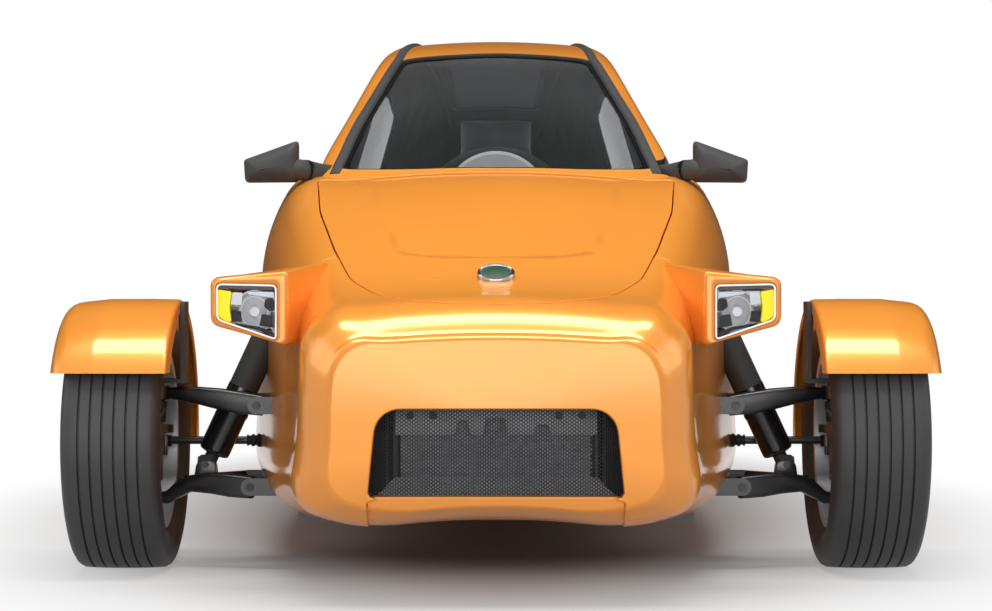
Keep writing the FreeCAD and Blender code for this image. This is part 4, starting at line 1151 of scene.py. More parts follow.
def build_floor():
    """A wide floor that takes the shadow near the car, grey there as painted shade that deepens that shadow, and turns
    into the white background further off.
    """
    mat, tree, shader = new_material("pale_floor")
    # grey near the car: painted shade under and round it, faded to white further off below
    feed(tree, shader, {"Base Color": (0.42, 0.42, 0.42, 1.0), "Roughness": 0.7, "Specular IOR Level": 0.1})
    white = node(tree, "ShaderNodeEmission", {"Strength": 1.0})
    place = node(tree, "ShaderNodeTexCoord").outputs["Object"]
    shrink = node(tree, "ShaderNodeMapping", {"Vector": place, "Scale": (1 / 1.5, 1 / 3.1, 1.0)})
    length = node(tree, "ShaderNodeVectorMath", {0: shrink.outputs["Vector"]}, operation="LENGTH")
    fade = node(tree, "ShaderNodeMapRange", {"Value": length.outputs["Value"], "From Min": 0.4, "From Max": 1.0},
                interpolation_type="SMOOTHSTEP")
    both = node(tree, "ShaderNodeMath", {0: fade.outputs["Result"], 1: seen_ray(tree)}, operation="MULTIPLY")
    mix = node(tree, "ShaderNodeMixShader", {"Fac": both.outputs[0], 1: shader.outputs[0], 2: white.outputs[0]})
    feed(tree, tree.nodes["Material Output"], {"Surface": mix.outputs[0]})
    size = 40.0
    mesh = bpy.data.meshes.new("floor")
    mesh.from_pydata([(-size, -size, 0), (size, -size, 0), (size, size, 0), (-size, size, 0)], [], [(0, 1, 2, 3)])
    mesh.materials.append(mat)
    linked("floor", mesh)


NODE_FINISH = {name: finish for finish, names in {
    "orange_paint": "body_shell roof_frame front_fascia hood_panel door_panel hatch_panel headlight_housings "
        "fender_left fender_right",
    "mesh_black": "grille",
    "tinted_glass": "windshield side_glass door_glass hatch_glass",
    "lens_clear": "headlight_lenses",
    "chrome": "headlight_reflectors",
    "black_trim": "mirror_housings shocks plate_holder",
    "mirror_face": "mirror_glass",
    "fin_metal": "radiator",
    "cast_metal": "engine_block rack_housing",
    "satin_steel": "front_crossmember upper_arms lower_arms swingarm steering_rack",
    "shell_lining": "bulkheads wheel_well",
    "carpet": "floor_pan",
    "dash_skin": "dashboard",
    "seat_cloth": "seats",
    "tail_red": "tail_lamps",
    "caliper_black": "knuckle_left knuckle_right",
    "rubber": "tyre_left tyre_right rear_tyre",
    "rim_alloy": "rim_left rim_right rear_rim",
    "disc_iron": "brake_disc_left brake_disc_right",
    "grip_leather": "steering_wheel_rim",
}.items() for name in names.split()}


# ---- repeated pieces by geometry nodes
def node_tree(name, inputs):
    """A geometry tree whose first input is the mesh it works on, and whose other inputs are numbers."""
    tree = bpy.data.node_groups.new(name, "GeometryNodeTree")
    tree.interface.new_socket("Geometry", in_out="INPUT", socket_type="NodeSocketGeometry")
    for label, default in inputs:
        tree.interface.new_socket(label, in_out="INPUT", socket_type=NUMBER).default_value = default
    tree.interface.new_socket("Geometry", in_out="OUTPUT", socket_type="NodeSocketGeometry")
    return tree, tree.nodes.new("NodeGroupInput").outputs, tree.nodes.new("NodeGroupOutput")


def finished(tree, shape, mat, result):
    """Copies made real and given their finish, as the tree's result."""
    real = node(tree, "GeometryNodeRealizeInstances", {"Geometry": shape})
    paint = node(tree, "GeometryNodeSetMaterial", {"Geometry": real.outputs["Geometry"], "Material": material(mat)})
    feed(tree, result, {"Geometry": paint.outputs["Geometry"]})
    return tree


def applied_tree(name, base, tree, values):
    """The result of a geometry tree on a base mesh, as a plain mesh object."""
    modifier = base.modifiers.new("nodes", "NODES")
    modifier.node_group = tree
    for item in tree.interface.items_tree:
        if item.in_out == "INPUT" and item.name in values:
            modifier[item.identifier] = values[item.name]
    bpy.context.view_layer.update()
    graph = bpy.context.evaluated_depsgraph_get()
    mesh = bpy.data.meshes.new_from_object(base.evaluated_get(graph))
    mesh.name = name
    removed(base)
    return linked(name, mesh)


def point_cloud(name, points, normals):
    """Loose points in millimetres, each with the way its copy faces."""
    mesh = bpy.data.meshes.new(name)
    mesh.from_pydata([tuple(float(c) * MM for c in p) for p in points], [], [])
    way = mesh.attributes.new("facing", "FLOAT_VECTOR", "POINT")
    for i, n in enumerate(normals):
        way.data[i].vector = n
    return linked(name, mesh)


def fastener_tree(mat):
    """A hexagon head on a washer at every point, turned to face along the point's own direction."""
    tree, given, result = node_tree(
        "fasteners", [("Head radius", 0.008), ("Head height", 0.006), ("Washer radius", 0.011)])
    high = given["Head height"]

    def disc(sides, radius, depth, lift):
        part = node(tree, "GeometryNodeMeshCylinder", {"Vertices": sides, "Radius": radius, "Depth": depth})
        raised = node(tree, "ShaderNodeMath", {0: high, 1: lift}, operation="MULTIPLY")
        up = node(tree, "ShaderNodeCombineXYZ", {"Z": raised.outputs[0]})
        return node(tree, "GeometryNodeTransform", {
            "Geometry": part.outputs["Mesh"], "Translation": up.outputs[0]}).outputs["Geometry"]

    thin = node(tree, "ShaderNodeMath", {0: high, 1: 0.3}, operation="MULTIPLY")
    join = node(tree, "GeometryNodeJoinGeometry")
    tree.links.new(disc(6, given["Head radius"], high, 0.65), join.inputs[0])
    tree.links.new(disc(20, given["Washer radius"], thin.outputs[0], 0.12), join.inputs[0])
    facing = node(tree, "GeometryNodeInputNamedAttribute", {}, data_type="FLOAT_VECTOR")
    facing.inputs["Name"].default_value = "facing"
    align = node(tree, "FunctionNodeAlignEulerToVector", {"Vector": facing.outputs["Attribute"]}, axis="Z")
    copies = node(tree, "GeometryNodeInstanceOnPoints", {
        "Points": given["Geometry"], "Instance": join.outputs["Geometry"], "Rotation": align.outputs["Rotation"]})
    return finished(tree, copies.outputs["Instances"], mat, result)


def fasteners(name, spots, head, height):
    """Bolt heads at (point, facing) spots."""
    cloud = point_cloud(name, [p for p, n in spots], [n for p, n in spots])
    return applied_tree(name, cloud, fastener_tree("bolt_zinc"), {
        "Head radius": head * MM, "Head height": height * MM, "Washer radius": head * 1.35 * MM})


def mesh_tree(mat):
    """Flat bars along every edge of the base net, which make the grille's mesh."""
    tree, given, result = node_tree("grille_net", [("Wire", 0.0008)])
    lines = node(tree, "GeometryNodeMeshToCurve", {"Mesh": given["Geometry"]})
    ring = node(tree, "GeometryNodeCurvePrimitiveCircle", {"Resolution": 4, "Radius": given["Wire"]})
    bars = node(tree, "GeometryNodeCurveToMesh", {
        "Curve": lines.outputs["Curve"], "Profile Curve": ring.outputs["Curve"]})
    return finished(tree, bars.outputs["Mesh"], mat, result)


# ---- nose, grille and badge
GRILLE_S = -600.0


def build_grille(sizes):
    """Expanded mesh in the nose opening and its border."""
    pitch, rise = sizes.mesh_pitch * 1000, sizes.mesh_rise * 1000
    points, edges, place = [], [], {}

    def corner(x, z):
        key = (round(x * 10), round(z * 10))
        if key not in place:
            place[key] = len(points)
            points.append((x, z))
        return place[key]

    rows, columns = int(170 / rise) + 2, int(460 / pitch) + 2
    for row in range(rows):
        z = 180 + row * rise
        for column in range(columns):
            x = -230 + column * pitch + (pitch / 2 if row % 2 else 0)
            left, right = corner(x - pitch * 0.14, z), corner(x + pitch * 0.14, z)
            edges.append((left, right))
            if row + 1 < rows:
                edges.append((right, corner(x + pitch * 0.36, z + rise)))
                edges.append((left, corner(x - pitch * 0.36, z + rise)))
    spots = np.array(points)
    inside = field(GRILLE, spots[:, 0], spots[:, 1]) < -0.6
    kept = [(a, b) for a, b in edges if inside[a] and inside[b]]
    used = sorted({i for pair in kept for i in pair})
    renumber = {old: new for new, old in enumerate(used)}
    mesh = bpy.data.meshes.new("grille_net")
    mesh.from_pydata(
        [(points[i][0] * MM, y_at(GRILLE_S) * MM, points[i][1] * MM) for i in used],
        [(renumber[a], renumber[b]) for a, b in kept], [])
    net = applied_tree("grille_net", linked("grille_net", mesh), mesh_tree("mesh_black"), {"Wire": sizes.mesh_wire})
    border = tube("grille_border", [(x, y_at(GRILLE_S), z) for x, z in rounded(GRILLE, 5.0)], 2.2, "mesh_black", 8,
                  closed=True)
    return joined("grille_mesh", [net, border])


def build_duct():
    """Tray and notched beam of the air duct between the mesh and the radiator."""
    # this grey is partly painted light, lighter than the duct's own to make up for the light the mesh keeps out
    mat = "duct_grey"
    tray = lofted("tray", [
        [(-214, y_at(-592), 178), (214, y_at(-592), 178), (214, y_at(-592), 182), (-214, y_at(-592), 182)],
        [(-176, y_at(-548), 214), (176, y_at(-548), 214), (176, y_at(-548), 218), (-176, y_at(-548), 218)],
    ], mat)
    beam_points = [
        (-176, 292, 4), (-176, 338, 6), (176, 338, 6), (176, 292, 4), (96, 292, 4), (92, 310, 4), (70, 310, 4),
        (66, 292, 4), (20, 292, 4), (16, 322, 6), (-18, 322, 6), (-22, 292, 4), (-44, 292, 4), (-50, 318, 6),
        (-66, 318, 6), (-72, 292, 4)]
    beam = plate("beam", beam_points, -556, 5, mat)
    bolts = fasteners("beam_bolts", [((x, y_at(-556.5), 326), (0, -1, 0)) for x in (-150, -110, 110, 150)], 5, 4)
    return joined("air_duct", [tray, beam, bolts])


def build_radiator():
    """Core with fins and side tanks, in the space of its block."""
    bits = []
    for k in range(29):
        z = 170 + k * 8
        bits.append(tube("fin_tube", [(-168, y_at(-540), z), (168, y_at(-540), z)], 2.2, "fin_metal", 8))
    for x in (-177, 177):
        bits.append(tube("tank", [(x, y_at(-524), 160), (x, y_at(-524), 396)], 12, "lamp_dark", 14))
    bits.append(lofted("core", [
        [(-166, y_at(-536), z), (166, y_at(-536), z), (166, y_at(-506), z), (-166, y_at(-506), z)]
        for z in (160, 396)], "fin_metal"))
    return joined("radiator_core", bits)


def surface_point(s, x, rows, half_of):
    """Point and outward normal on a section table's surface at a station and half width."""
    def at(station):
        half = half_of(spline_rows(rows, [station])[0])
        for (x0, z0), (x1, z1) in zip(half, half[1:]):
            if x0 <= abs(x) <= x1:
                t = (abs(x) - x0) / max(x1 - x0, 1e-9)
                return z0 + (z1 - z0) * t, (z1 - z0) / max(x1 - x0, 1e-9)
        raise RuntimeError("no surface there")
    z, slope_x = at(s)
    slope_s = (at(s + 4)[0] - at(s - 4)[0]) / 8
    normal = np.array([-slope_x * (1 if x > 0 else -1), -slope_s, 1.0])
    return np.array([x, y_at(s), z]), normed(normal)


def hatch_seal():
    """A soft seal that closes the gap round the hatch from below."""
    corners = rounded(HATCH, 20.0)
    corners = np.vstack([corners, corners[:1]])
    run = np.concatenate([[0.0], np.cumsum(np.linalg.norm(np.diff(corners, axis=0), axis=1))])
    line = []
    for at in np.linspace(0.0, run[-1], 121)[:-1]:
        u, v = np.interp(at, run, corners[:, 0]), np.interp(at, run, corners[:, 1])
        s = v
        for _ in range(6):  # a few turns settle the station, which hangs on the height found there
            place, normal = surface_point(s, u, CANOPY_ROWS, canopy_half)
            s = v - 0.4 * (HATCH_LEVEL - place[2])
        line.append(place - normal * 9.0)
    return tube("hatch_seal", line, 6.5, "boot_rubber", sides=10, closed=True)


def build_badge():
    """A plain oval boss on the nose with a bright rim and a dark face."""
    foot, normal = surface_point(-398, 0, BODY_ROWS, body_half)
    across = np.array([1.0, 0, 0])
    tilt = math.radians(15)
    foot = foot + normal * 7.0
    normal = np.array([0, normal[1] * math.cos(tilt) - normal[2] * math.sin(tilt),
                       normal[2] * math.cos(tilt) + normal[1] * math.sin(tilt)])
    up = np.cross(normal, across) * -1
    rings = [[foot + across * width * math.cos(a) + up * height * math.sin(a) + normal * lift for a in angles(64)]
             for width, height, lift in ((34, 27, -8), (34, 27, 2), (33, 26, 4.2), (31, 24, 5.2), (29.5, 22.5, 4.6),
                                         (28.8, 21.8, 3.6))]
    rim = lofted("rim", rings, "badge_metal")
    rings = []
    for k in range(7):
        part = k / 7
        rings.append([foot + (across * 28.9 * math.cos(a) + up * 21.9 * math.sin(a)) * (1 - part)
                      + normal * (3.2 + 2.0 * (1 - (1 - part) ** 2)) for a in angles(64)])
    return joined("badge_disc", [rim, lofted("face", rings, "badge_face")])


# ---- roof rails
RAIL_PATH = [(286, 339), (400, 325), (500, 315), (600, 303), (730, 284), (850, 265.5), (950, 249), (1040, 234),
             (1120, 229), (1200, 225.5), (1300, 221), (1500, 213), (1700, 207), (1880, 203)]


def build_rails():
    """Black mouldings that run up the pillars and back over the roof on both sides."""
    stations = steps(286, 1880, 16)
    x_at = np.interp(stations, [s for s, x in RAIL_PATH], [x for s, x in RAIL_PATH])
    centre = [surface_point(s, float(x), CANOPY_ROWS, canopy_half) for s, x in zip(stations, x_at)]
    last = len(centre) - 1
    profile = [(-11, -4), (-11, 2), (-9.4, 5), (-5, 7), (0, 7.6), (5, 7), (9.4, 5), (11, 2), (11, -4)]
    rings = []
    for i, (p, n) in enumerate(centre):
        way = normed(centre[min(i + 1, last)][0] - centre[max(i - 1, 0)][0])
        side = normed(np.cross(way, n))
        size = min(1.0, 0.35 + min(i, last - i) * 0.3)
        rings.append([p + side * u + n * (v * size if v > 0 else v) for u, v in profile])
    left = lofted("roof_rail_left", rings, "black_trim")
    return left, mirror_copy(left, "roof_rail_right")


# ---- headlights
LAMP_X, LAMP_Z = 433.0, 507.0
# pod outline: station, inner low, inner high, outer high and outer low corner (x, z), their radii
POD_ROWS = [
    (-388, (396, 464), (396, 547), (494, 551), (494, 496), (4, 4, 8, 12)),
    (-444, (393, 456), (393, 554), (500, 557), (500, 492), (5, 8, 10, 16)),
    (-448, (392, 455), (392, 556), (501.5, 558.5), (501.5, 491), (5, 8, 11, 16)),
    (-450.5, (389, 452), (389, 560), (503.5, 561), (503.5, 489), (7, 8, 13, 18)),
    (-450.5, (378, 449), (378, 575), (505.5, 563), (505.5, 487.5), (9, 9, 14, 20)),
    (-448, (374, 446.5), (374, 578.5), (509, 565.5), (509, 485), (9, 9, 16, 22)),
    (-442, (371, 445.5), (371, 580.5), (511.5, 567), (511.5, 484), (9, 9, 17, 22)),
    (-420, (366, 446), (366, 583), (513, 568.5), (513, 485.5), (9, 9, 18, 22)),
    (-350, (340, 452), (340, 592), (500, 570), (500, 492), (9, 9, 18, 22)),
    (-286, (312, 462), (312, 600), (472, 566), (472, 500), (9, 9, 18, 22)),
]
BOWL = [(0.0, 40), (0.1, 38), (6, 37.4), (12, 35.5), (18, 32), (24, 26), (28, 18), (29.6, 10), (30, 0.1)]
# lamp plates: name, outline, station, depth, finish
LAMP_PLATES = [
    ("top_band", [(395, 545, 1), (395, 555.5, 6), (499, 558, 8), (499.5, 549, 2)], -447, 6, "lamp_grey"),
    ("signal", [(474, 543, 3), (498.5, 547, 3), (498.5, 500, 10), (488, 492, 6), (474, 487, 3), (478, 515, 30)],
     -446, 12, "signal_yellow"),
    ("outer_plate", [(462, 490, 2), (462, 516, 2), (476, 516, 2), (472, 488, 2)], -441, 4, "lamp_grey"),
    ("outer_mirror", [(456, 518, 2), (454, 541, 2), (473, 542, 2), (476, 520, 2)], -441, 4, "chrome"),
    ("inner_plate", [(397, 476, 2), (397, 506, 2), (404, 507, 2), (405, 480, 2)], -441, 4, "lamp_grey"),
    ("inner_dark", [(397, 509, 2), (397, 530, 6), (413, 532, 7), (416, 516, 4), (406, 508, 3)], -444, 4, "lamp_dark"),
    ("low_bar", [(399, 470, 2), (424, 480, 2), (462, 486, 2), (472, 485.5, 1), (462, 481, 2), (426, 474, 2),
                 (401, 463, 2)], -444, 5, "lamp_dark"),
    ("low_inner", [(397, 458, 1), (397, 468, 2), (412, 474, 3), (418, 466, 3), (404, 459, 2)], -446, 4, "lamp_dark"),
    ("upper_shine", [(398, 531, 2), (398, 543, 3), (448, 543, 3), (444, 538, 2)], -441, 4, "chrome"),
    ("low_dark", [(400, 478, 2), (402, 500, 2), (420, 503, 3), (424, 482, 2)], -443, 4, "lamp_dark"),
    ("side_dark", [(455, 489, 2), (457, 508, 2), (476, 510, 2), (473, 489, 2)], -443, 4, "lamp_dark"),
    ("back_panel", [(392, 454, 4), (392, 552, 6), (500, 556, 8), (500, 490, 12)], -400, 4, "chrome"),
]


def corner_ring(corners, s):
    """The ring through (x, z, radius) corners at a station, each corner rounded."""
    ring = []
    for i, (x, z, radius) in enumerate(corners):
        arc = round_corner(corners[i - 1][:2], (x, z), corners[(i + 1) % len(corners)][:2], radius, 7)
        ring += [(px, y_at(s), pz) for px, pz in arc]
    return ring


def pod_ring(s, *corners_and_radii):
    *corners, radii = corners_and_radii
    return corner_ring([(x, z, radius) for (x, z), radius in zip(corners, radii)], s)


def build_reflector():
    """The bright bowl behind the bulb, with a thin wall."""
    count = 40
    verts = [(LAMP_X + r * math.cos(a) * 0.9, y_at(-438 + deep), LAMP_Z + r * math.sin(a))
             for deep, r in BOWL for a in angles(count)]
    dish = link_mesh("dish", verts, band(len(BOWL), count), ["chrome"])
    solid = dish.modifiers.new("wall", "SOLIDIFY")
    solid.thickness, solid.offset = 0.0015, 1.0
    mesh = bpy.data.meshes.new_from_object(dish.evaluated_get(bpy.context.evaluated_depsgraph_get()))
    dish.modifiers.clear()
    dish.data = mesh
    return outward(dish)


def build_headlight():
    """Left pod: painted housing with a recess, and the lamp in it behind a clear lens."""
    housing = lofted("pod", [pod_ring(*row) for row in POD_ROWS], "orange_paint")
    at = lambda s: (LAMP_X, y_at(s), LAMP_Z)
    bits = [
        build_reflector(),
        tube("bulb", [at(-410), at(-424), at(-434)], 7, "bulb_glow", 16, taper=[7, 7, 4.5]),
        tube("cap", [at(-434), at(-437)], 8.5, "chrome", 20),
        tube("bowl_ring", [(LAMP_X + 27 * math.cos(a) * 0.9, y_at(-440), LAMP_Z + 27 * math.sin(a))
                           for a in angles(36)], 1.3, "chrome", 8, closed=True),
        # the bezel ring round the recess glows white: a painted highlight, not a lamp
        tube("bezel", pod_ring(-449.5, (394, 457.5), (394, 553.5), (499.5, 556), (499.5, 493), (5, 8, 10, 16)), 1.7,
             "bulb_glow", 8, closed=True),
    ] + [plate(*row) for row in LAMP_PLATES]
    # a thin domed pane in the recess
    rows = [
        pod_ring(-447 + lift, (392.6 + inset, 455.6 + inset * 0.72), (392.6 + inset, 555.4 - inset * 0.72),
                 (500.9 - inset, 557.9 - inset * 0.72), (500.9 - inset, 491.6 + inset * 0.45),
                 [max(radius - inset, 2) for radius in (5, 8, 11, 16)])
        for lift, inset in ((3.2, 0), (1.4, 0), (0.2, 1.2), (-0.8, 6), (-1.6, 16), (-2.2, 30))]
    return housing, joined("lamp_unit", bits), lofted("lens", rows, "lens_clear")


# ---- mirrors
def build_mirror():
    """Left mirror: a wedge shell whose front is folded along a crease, its stalk and its glass."""
    def ring(s, shrink):
        return corner_ring([
            (411 + shrink, 775 + shrink, 10), (411 + shrink * 0.8, 864 - shrink * 1.4, 9),
            (527 - shrink * 1.6, 822 - shrink * 0.9, 9), (524 - shrink * 1.4, 774 + shrink, 12)], s)

    shell = lofted("mirror_shell", [ring(s, shrink) for s, shrink in (
        (258, 10), (263.4, 6), (263.8, 3), (262, 0.6), (255, 0), (240, 1.5), (230, 5), (221, 11), (216.5, 18),
        (214.5, 26))], "black_trim")
    stalk = lofted("stalk", [
        [(x + wide * 0.45 * math.cos(a), y_at(s) + wide * 0.9 * math.cos(a), z + high * math.sin(a))
         for a in angles(24)]
        for x, s, z, wide, high in ((346, 352, 798, 17, 19), (368, 318, 798, 18, 20), (384, 284, 799, 19, 21.5),
                                    (398, 256, 800, 19, 22), (412, 240, 801, 18, 22), (430, 236, 801, 16, 19))
    ], "black_trim")
    collar = tube("collar", [(395, y_at(262), 800), (399, y_at(256), 800)], 22.6, "satin_steel", 24)
    glass = plate("glass", [(419, 785, 14), (419, 853, 12), (518, 815, 10), (514, 784, 14)], 260.5, 2.2, "mirror_face",
                  0.6)
    return joined("mirror_left", [shell, stalk, collar]), glass


# ---- wheels and suspension
FENDER_FRONT_Z = 390.0


def fender_ring(angle, low):
    """Closed section of the fender at one turn about the axle; its front end is cut level, not along a radius."""
    skin, inner, outer = 275.5, 621.0, 850.0
    corners = [
        (inner, low, 1.2), (inner, skin - 1, 10), (inner + 60, skin + 0.2, 80), (outer - 90, skin, 90),
        (outer - 9, skin - 9, 44), (outer, 210, 1.2), (outer - 4.5, 210, 1.2), (outer - 13.5, skin - 15, 40),
        (outer - 92, skin - 5, 90), (inner + 60, skin - 4.8, 80), (inner + 4.5, skin - 6, 8), (inner + 4.5, low, 1.2),
    ]
    rise = FENDER_FRONT_Z - AXLE_Z
    start = math.degrees(math.asin(rise / skin))
    share = float(np.clip(1 - (angle - start) / 24, 0, 1))
    points = []
    for x, r in smooth_profile(corners):
        turn = math.radians(angle) + (math.asin(rise / r) - math.radians(start)) * share
        points.append((x, y_at(-r * math.cos(turn)), AXLE_Z + r * math.sin(turn)))
    return points


def build_fender(name):
    """A trough over the front wheel with a deep inner flange at its front, which ends in a lug."""
    turns = [29.22, 29.6, 30.4] + [31.2 + k * 1.8 for k in range(84)] + [182.4, 183]
    depth = lambda a: float(np.interp(a, [25, 40, 62, 71, 71.8, 77.2, 78, 84, 110, 170, 183],
                                      [226, 226, 231, 234, 222, 222, 246, 250, 253, 251, 249]))
    return lofted(name, [fender_ring(a, depth(a)) for a in turns], "orange_paint")


def ring_of_bolts(x, s, z, circle, count, phase, out):
    return [((x, y_at(s) + circle * math.sin(phase + a), z + circle * math.cos(phase + a)), (out, 0, 0))
            for a in angles(count)]


def build_rim_trim(side, word):
    """Lug bolts, centre cap and valve of one front rim."""
    x0 = side * (WHEEL_X + 36)
    bolts = fasteners("lugs", ring_of_bolts(x0, 0, AXLE_Z, 50, 4, math.pi / 4, side), 11, 14)
    cap = spin_profile(
        "cap", [(0, 31), (10 * side, 30), (15 * side, 26), (17 * side, 18), (17.6 * side, 0.2), (0, 0.2)],
        (x0, FRONT_AXLE_Y, AXLE_Z), ["black_trim"], None, 48)
    stem = [(x0 + side * out, y_at(s), AXLE_Z + up) for out, s, up in ((6, 96, 104), (16, 94, 102), (24, 93, 101))]
    valve = tube("valve", stem, 3.6, "black_trim", 10, taper=[4.2, 3.2, 2.8])
    return joined("rim_trim_" + word, [bolts, cap, valve])


def build_rear_trim():
    bits = []
    for side in (1, -1):
        bits.append(fasteners("rear_lugs", ring_of_bolts(side * 8, REAR_S, REAR_R, 58, 5, 0.3, side), 10, 12))
        bits.append(spin_profile("nut", [(0, 17), (14 * side, 17), (17 * side, 13), (17 * side, 0.2), (0, 0.2)],
                                 (side * 60, y_at(REAR_S), REAR_R), ["bolt_zinc"], None, 6))
    return joined("rear_rim_trim", bits)


def boot(name, start, end, big, small, folds, mat):
    """A bellows between two points."""
    a, b = np.array(start, float), np.array(end, float)
    points, radii = [], []
    count = folds * 6
    for i in range(count + 1):
        t = i / count
        wide = big + (small - big) * t
        points.append(a + (b - a) * t)
        radii.append(wide * (0.86 + 0.14 * math.cos(2 * math.pi * folds * t)))
    return tube(name, points, big, mat, 28, taper=radii)


def arm_casting(name, stations, mat):
    """A flat sided casting through (x, s, z, half height, half width) stations, its edges rounded."""
    rings = []
    at = [np.array([x, y_at(s), z]) for x, s, z, *_ in stations]
    for i, (*_, high, wide) in enumerate(stations):
        way = normed(at[min(i + 1, len(at) - 1)] - at[max(i - 1, 0)])
        side = normed(np.cross(way, [0, 0, 1.0]))
        up = np.cross(side, way)
        ring = []
        for a in angles(20):
            c, n = math.cos(a), math.sin(a)
            ring.append(at[i] + side * wide * abs(c) ** 0.45 * (1 if c > 0 else -1)
                        + up * high * abs(n) ** 0.45 * (1 if n > 0 else -1))
        rings.append(ring)
    return lofted(name, rings, mat)


# arm castings: (x, s, z, half height, half width) stations
ARMS = {
    "upper_front": [(652, -2, 346, 9, 12), (630, -6, 345, 12, 13), (590, -12, 341, 17, 14), (545, -19, 334, 21, 15),
                    (505, -26, 327, 22, 15), (458, -31, 321, 20, 15)],
    "upper_rear": [(640, 22, 343, 9, 10), (600, 58, 338, 14, 11), (555, 98, 330, 18, 12), (502, 140, 322, 19, 13)],
    "lower_front": [(672, -2, 140, 9, 14), (650, -3, 139, 12, 16), (628, -5, 152, 14, 17), (604, -8, 166, 16, 18),
                    (560, -18, 168, 21, 17), (520, -28, 164, 23, 16), (478, -40, 161, 22, 16)],
    "lower_rear": [(612, 16, 168, 12, 12), (575, 68, 166, 16, 13), (540, 118, 163, 18, 13), (506, 158, 162, 19, 13)],
}


def build_arm_castings():
    """Left upper and lower arm castings over their bars, with a web between them and their pivot pins."""
    mat = "satin_steel"
    return joined("arm_castings_left", [arm_casting(name, stations, mat) for name, stations in ARMS.items()] + [
        tube("lower_pin", [(482, y_at(-66), 163), (482, y_at(-14), 163)], 9, "bolt_zinc", 6),
        tube("upper_pin", [(470, y_at(-56), 322), (470, y_at(-4), 322)], 9, "bolt_zinc", 6),
        rounded_slab("web", [(596, -8, 6), (596, 62, 10), (560, 84, 10), (548, -16, 6)],
                     lambda u, v: (u, y_at(v), 171), (0, 0, 5), mat, 1.5, 2),
    ])


def build_shock_dress():
    """Left damper: sleeve with collars, rod, lower eye with its pin, and two cheeks."""
    foot = np.array([580.0, y_at(60), 194.0])
    head = np.array([452.0, y_at(60), 470.0])
    way = normed(head - foot)
    mat = "damper_black"
    at = lambda d: foot + way * d
    radii = [(30, 20), (32, 27), (36, 30.5), (42, 31.2), (118, 31.2), (121, 32.6), (128, 32.6), (131, 31.2),
             (176, 30.8), (178, 24), (226, 23.4)]
    sleeve = tube("sleeve", [at(d) for d, r in radii], 30, mat, 36, taper=[r for d, r in radii])
    rod = tube("rod", [at(12), at(34)], 9, "chrome", 18)
    eye = tube("eye", [foot + np.array([-17, 0, 6]), foot + np.array([17, 0, 6])], 16, "satin_steel", 28)
    pin = tube("pin", [foot + np.array([0, -22, 6]), foot + np.array([0, 22, 6])], 7, "bolt_zinc", 6)
    cheeks = [plate("cheek", [(558, 170, 3), (562, 208, 13), (598, 208, 13), (604, 170, 3)], s, 4, "satin_steel", 1.2)
              for s in (41, 75)]
    return joined("damper_dress_left", [sleeve, rod, eye, pin] + cheeks)


def build_rack_boot():
    """Left bellows over the inner end of the tie rod."""
    y = y_at(120)
    return boot("rack_boot_left", (410, y, 244.5), (505, y, 244.5), 21, 12, 8, "boot_rubber")


def build_knuckle_dress():
    """Left brake caliper bolts, hose and the upper ball joint's boot, which ride with the knuckle."""
    bits = [
        fasteners("caliper_bolts", [((692, y_at(-84), z), (-1, 0, 0)) for z in (282, 229)], 8, 7),
        boot("upper_boot", (668.1, y_at(0), 334), (669.6, y_at(0), 316), 17, 13, 3, "boot_rubber"),
        tube("hose", [(690, y_at(-96), 268), (676, y_at(-92), 276), (662, y_at(-76), 290),
                      (655, y_at(-52), 304), (652, y_at(-34), 312)], 4.5, "boot_rubber", 12),
    ]
    return joined("knuckle_dress_left", bits)


# ---- cabin
SEATS = {
    "front": dict(front=960, base=225, back=200, cushion=300, reach=420, top=885, recline=150, rest=130),
    "rear": dict(front=1790, base=190, back=175, cushion=310, reach=340, top=850, recline=120, rest=120),
}
FLOOR_TOP = 176.0


def soft_block(name, half, near, far, thick):
    """A crowned pad between a lower and an upper edge line of (s, z); its sides pull in between the corners."""
    near, far = np.array(near, float), np.array(far, float)
    length = np.linalg.norm(far - near)
    along = (far - near) / length
    out = np.array([-along[1], along[0]])
    pinch = 0.18
    verts, faces, index = [], [], {}

    def place(a, b, c):
        """Each of a, b, c runs from -1 to 1: across, along and through the pad."""
        key = (round(a, 5), round(b, 5), round(c, 5))
        if key not in index:
            draw = 1 - pinch * (1 - b * b) * 0.25 * abs(a) ** 3
            draw_b = 1 - pinch * (1 - a * a) * 0.25 * abs(b) ** 3
            edge = (1 - abs(a) ** 5) * (1 - abs(b) ** 5)
            lift = c * thick / 2 * (0.72 + 0.28 * edge)
            q = near + along * length * (b * draw_b + 1) / 2 + out * lift
            index[key] = len(verts)
            verts.append((a * half * draw, y_at(q[0]), q[1]))
        return index[key]

    across, lengthwise, through = 16, 14, 5
    for u_count, v_count, make in (
        (across, lengthwise, lambda u, v, w: place(u, v, w)), (across, through, lambda u, v, w: place(u, w, v)),
        (lengthwise, through, lambda u, v, w: place(w, u, v)),
    ):
        us, vs = ([-1 + 2 * k / n for k in range(n + 1)] for n in (u_count, v_count))
        for w in (1, -1):
            for i in range(u_count):
                for j in range(v_count):
                    faces.append([make(us[i], vs[j], w), make(us[i + 1], vs[j], w), make(us[i + 1], vs[j + 1], w),
                                  make(us[i], vs[j + 1], w)])
    return outward(link_mesh(name, verts, faces, ["seat_cloth"]))


def plain_mesh(obj):
    """The evaluated shape becomes the object's own mesh and the modifiers go."""
    graph = bpy.context.evaluated_depsgraph_get()
    mesh = bpy.data.meshes.new_from_object(obj.evaluated_get(graph))
    obj.modifiers.clear()
    old = obj.data
    obj.data = mesh
    mesh.name = obj.name
    bpy.data.meshes.remove(old)
    for poly in mesh.polygons:
        poly.use_smooth = True
    return obj


def vertex_values(obj, what):
    values = np.empty(len(obj.data.vertices) * 3)
    obj.data.vertices.foreach_get(what, values)
    return values.reshape(-1, 3)


def move_to(obj, places):
    obj.data.vertices.foreach_set("co", places.ravel())
    obj.data.update()


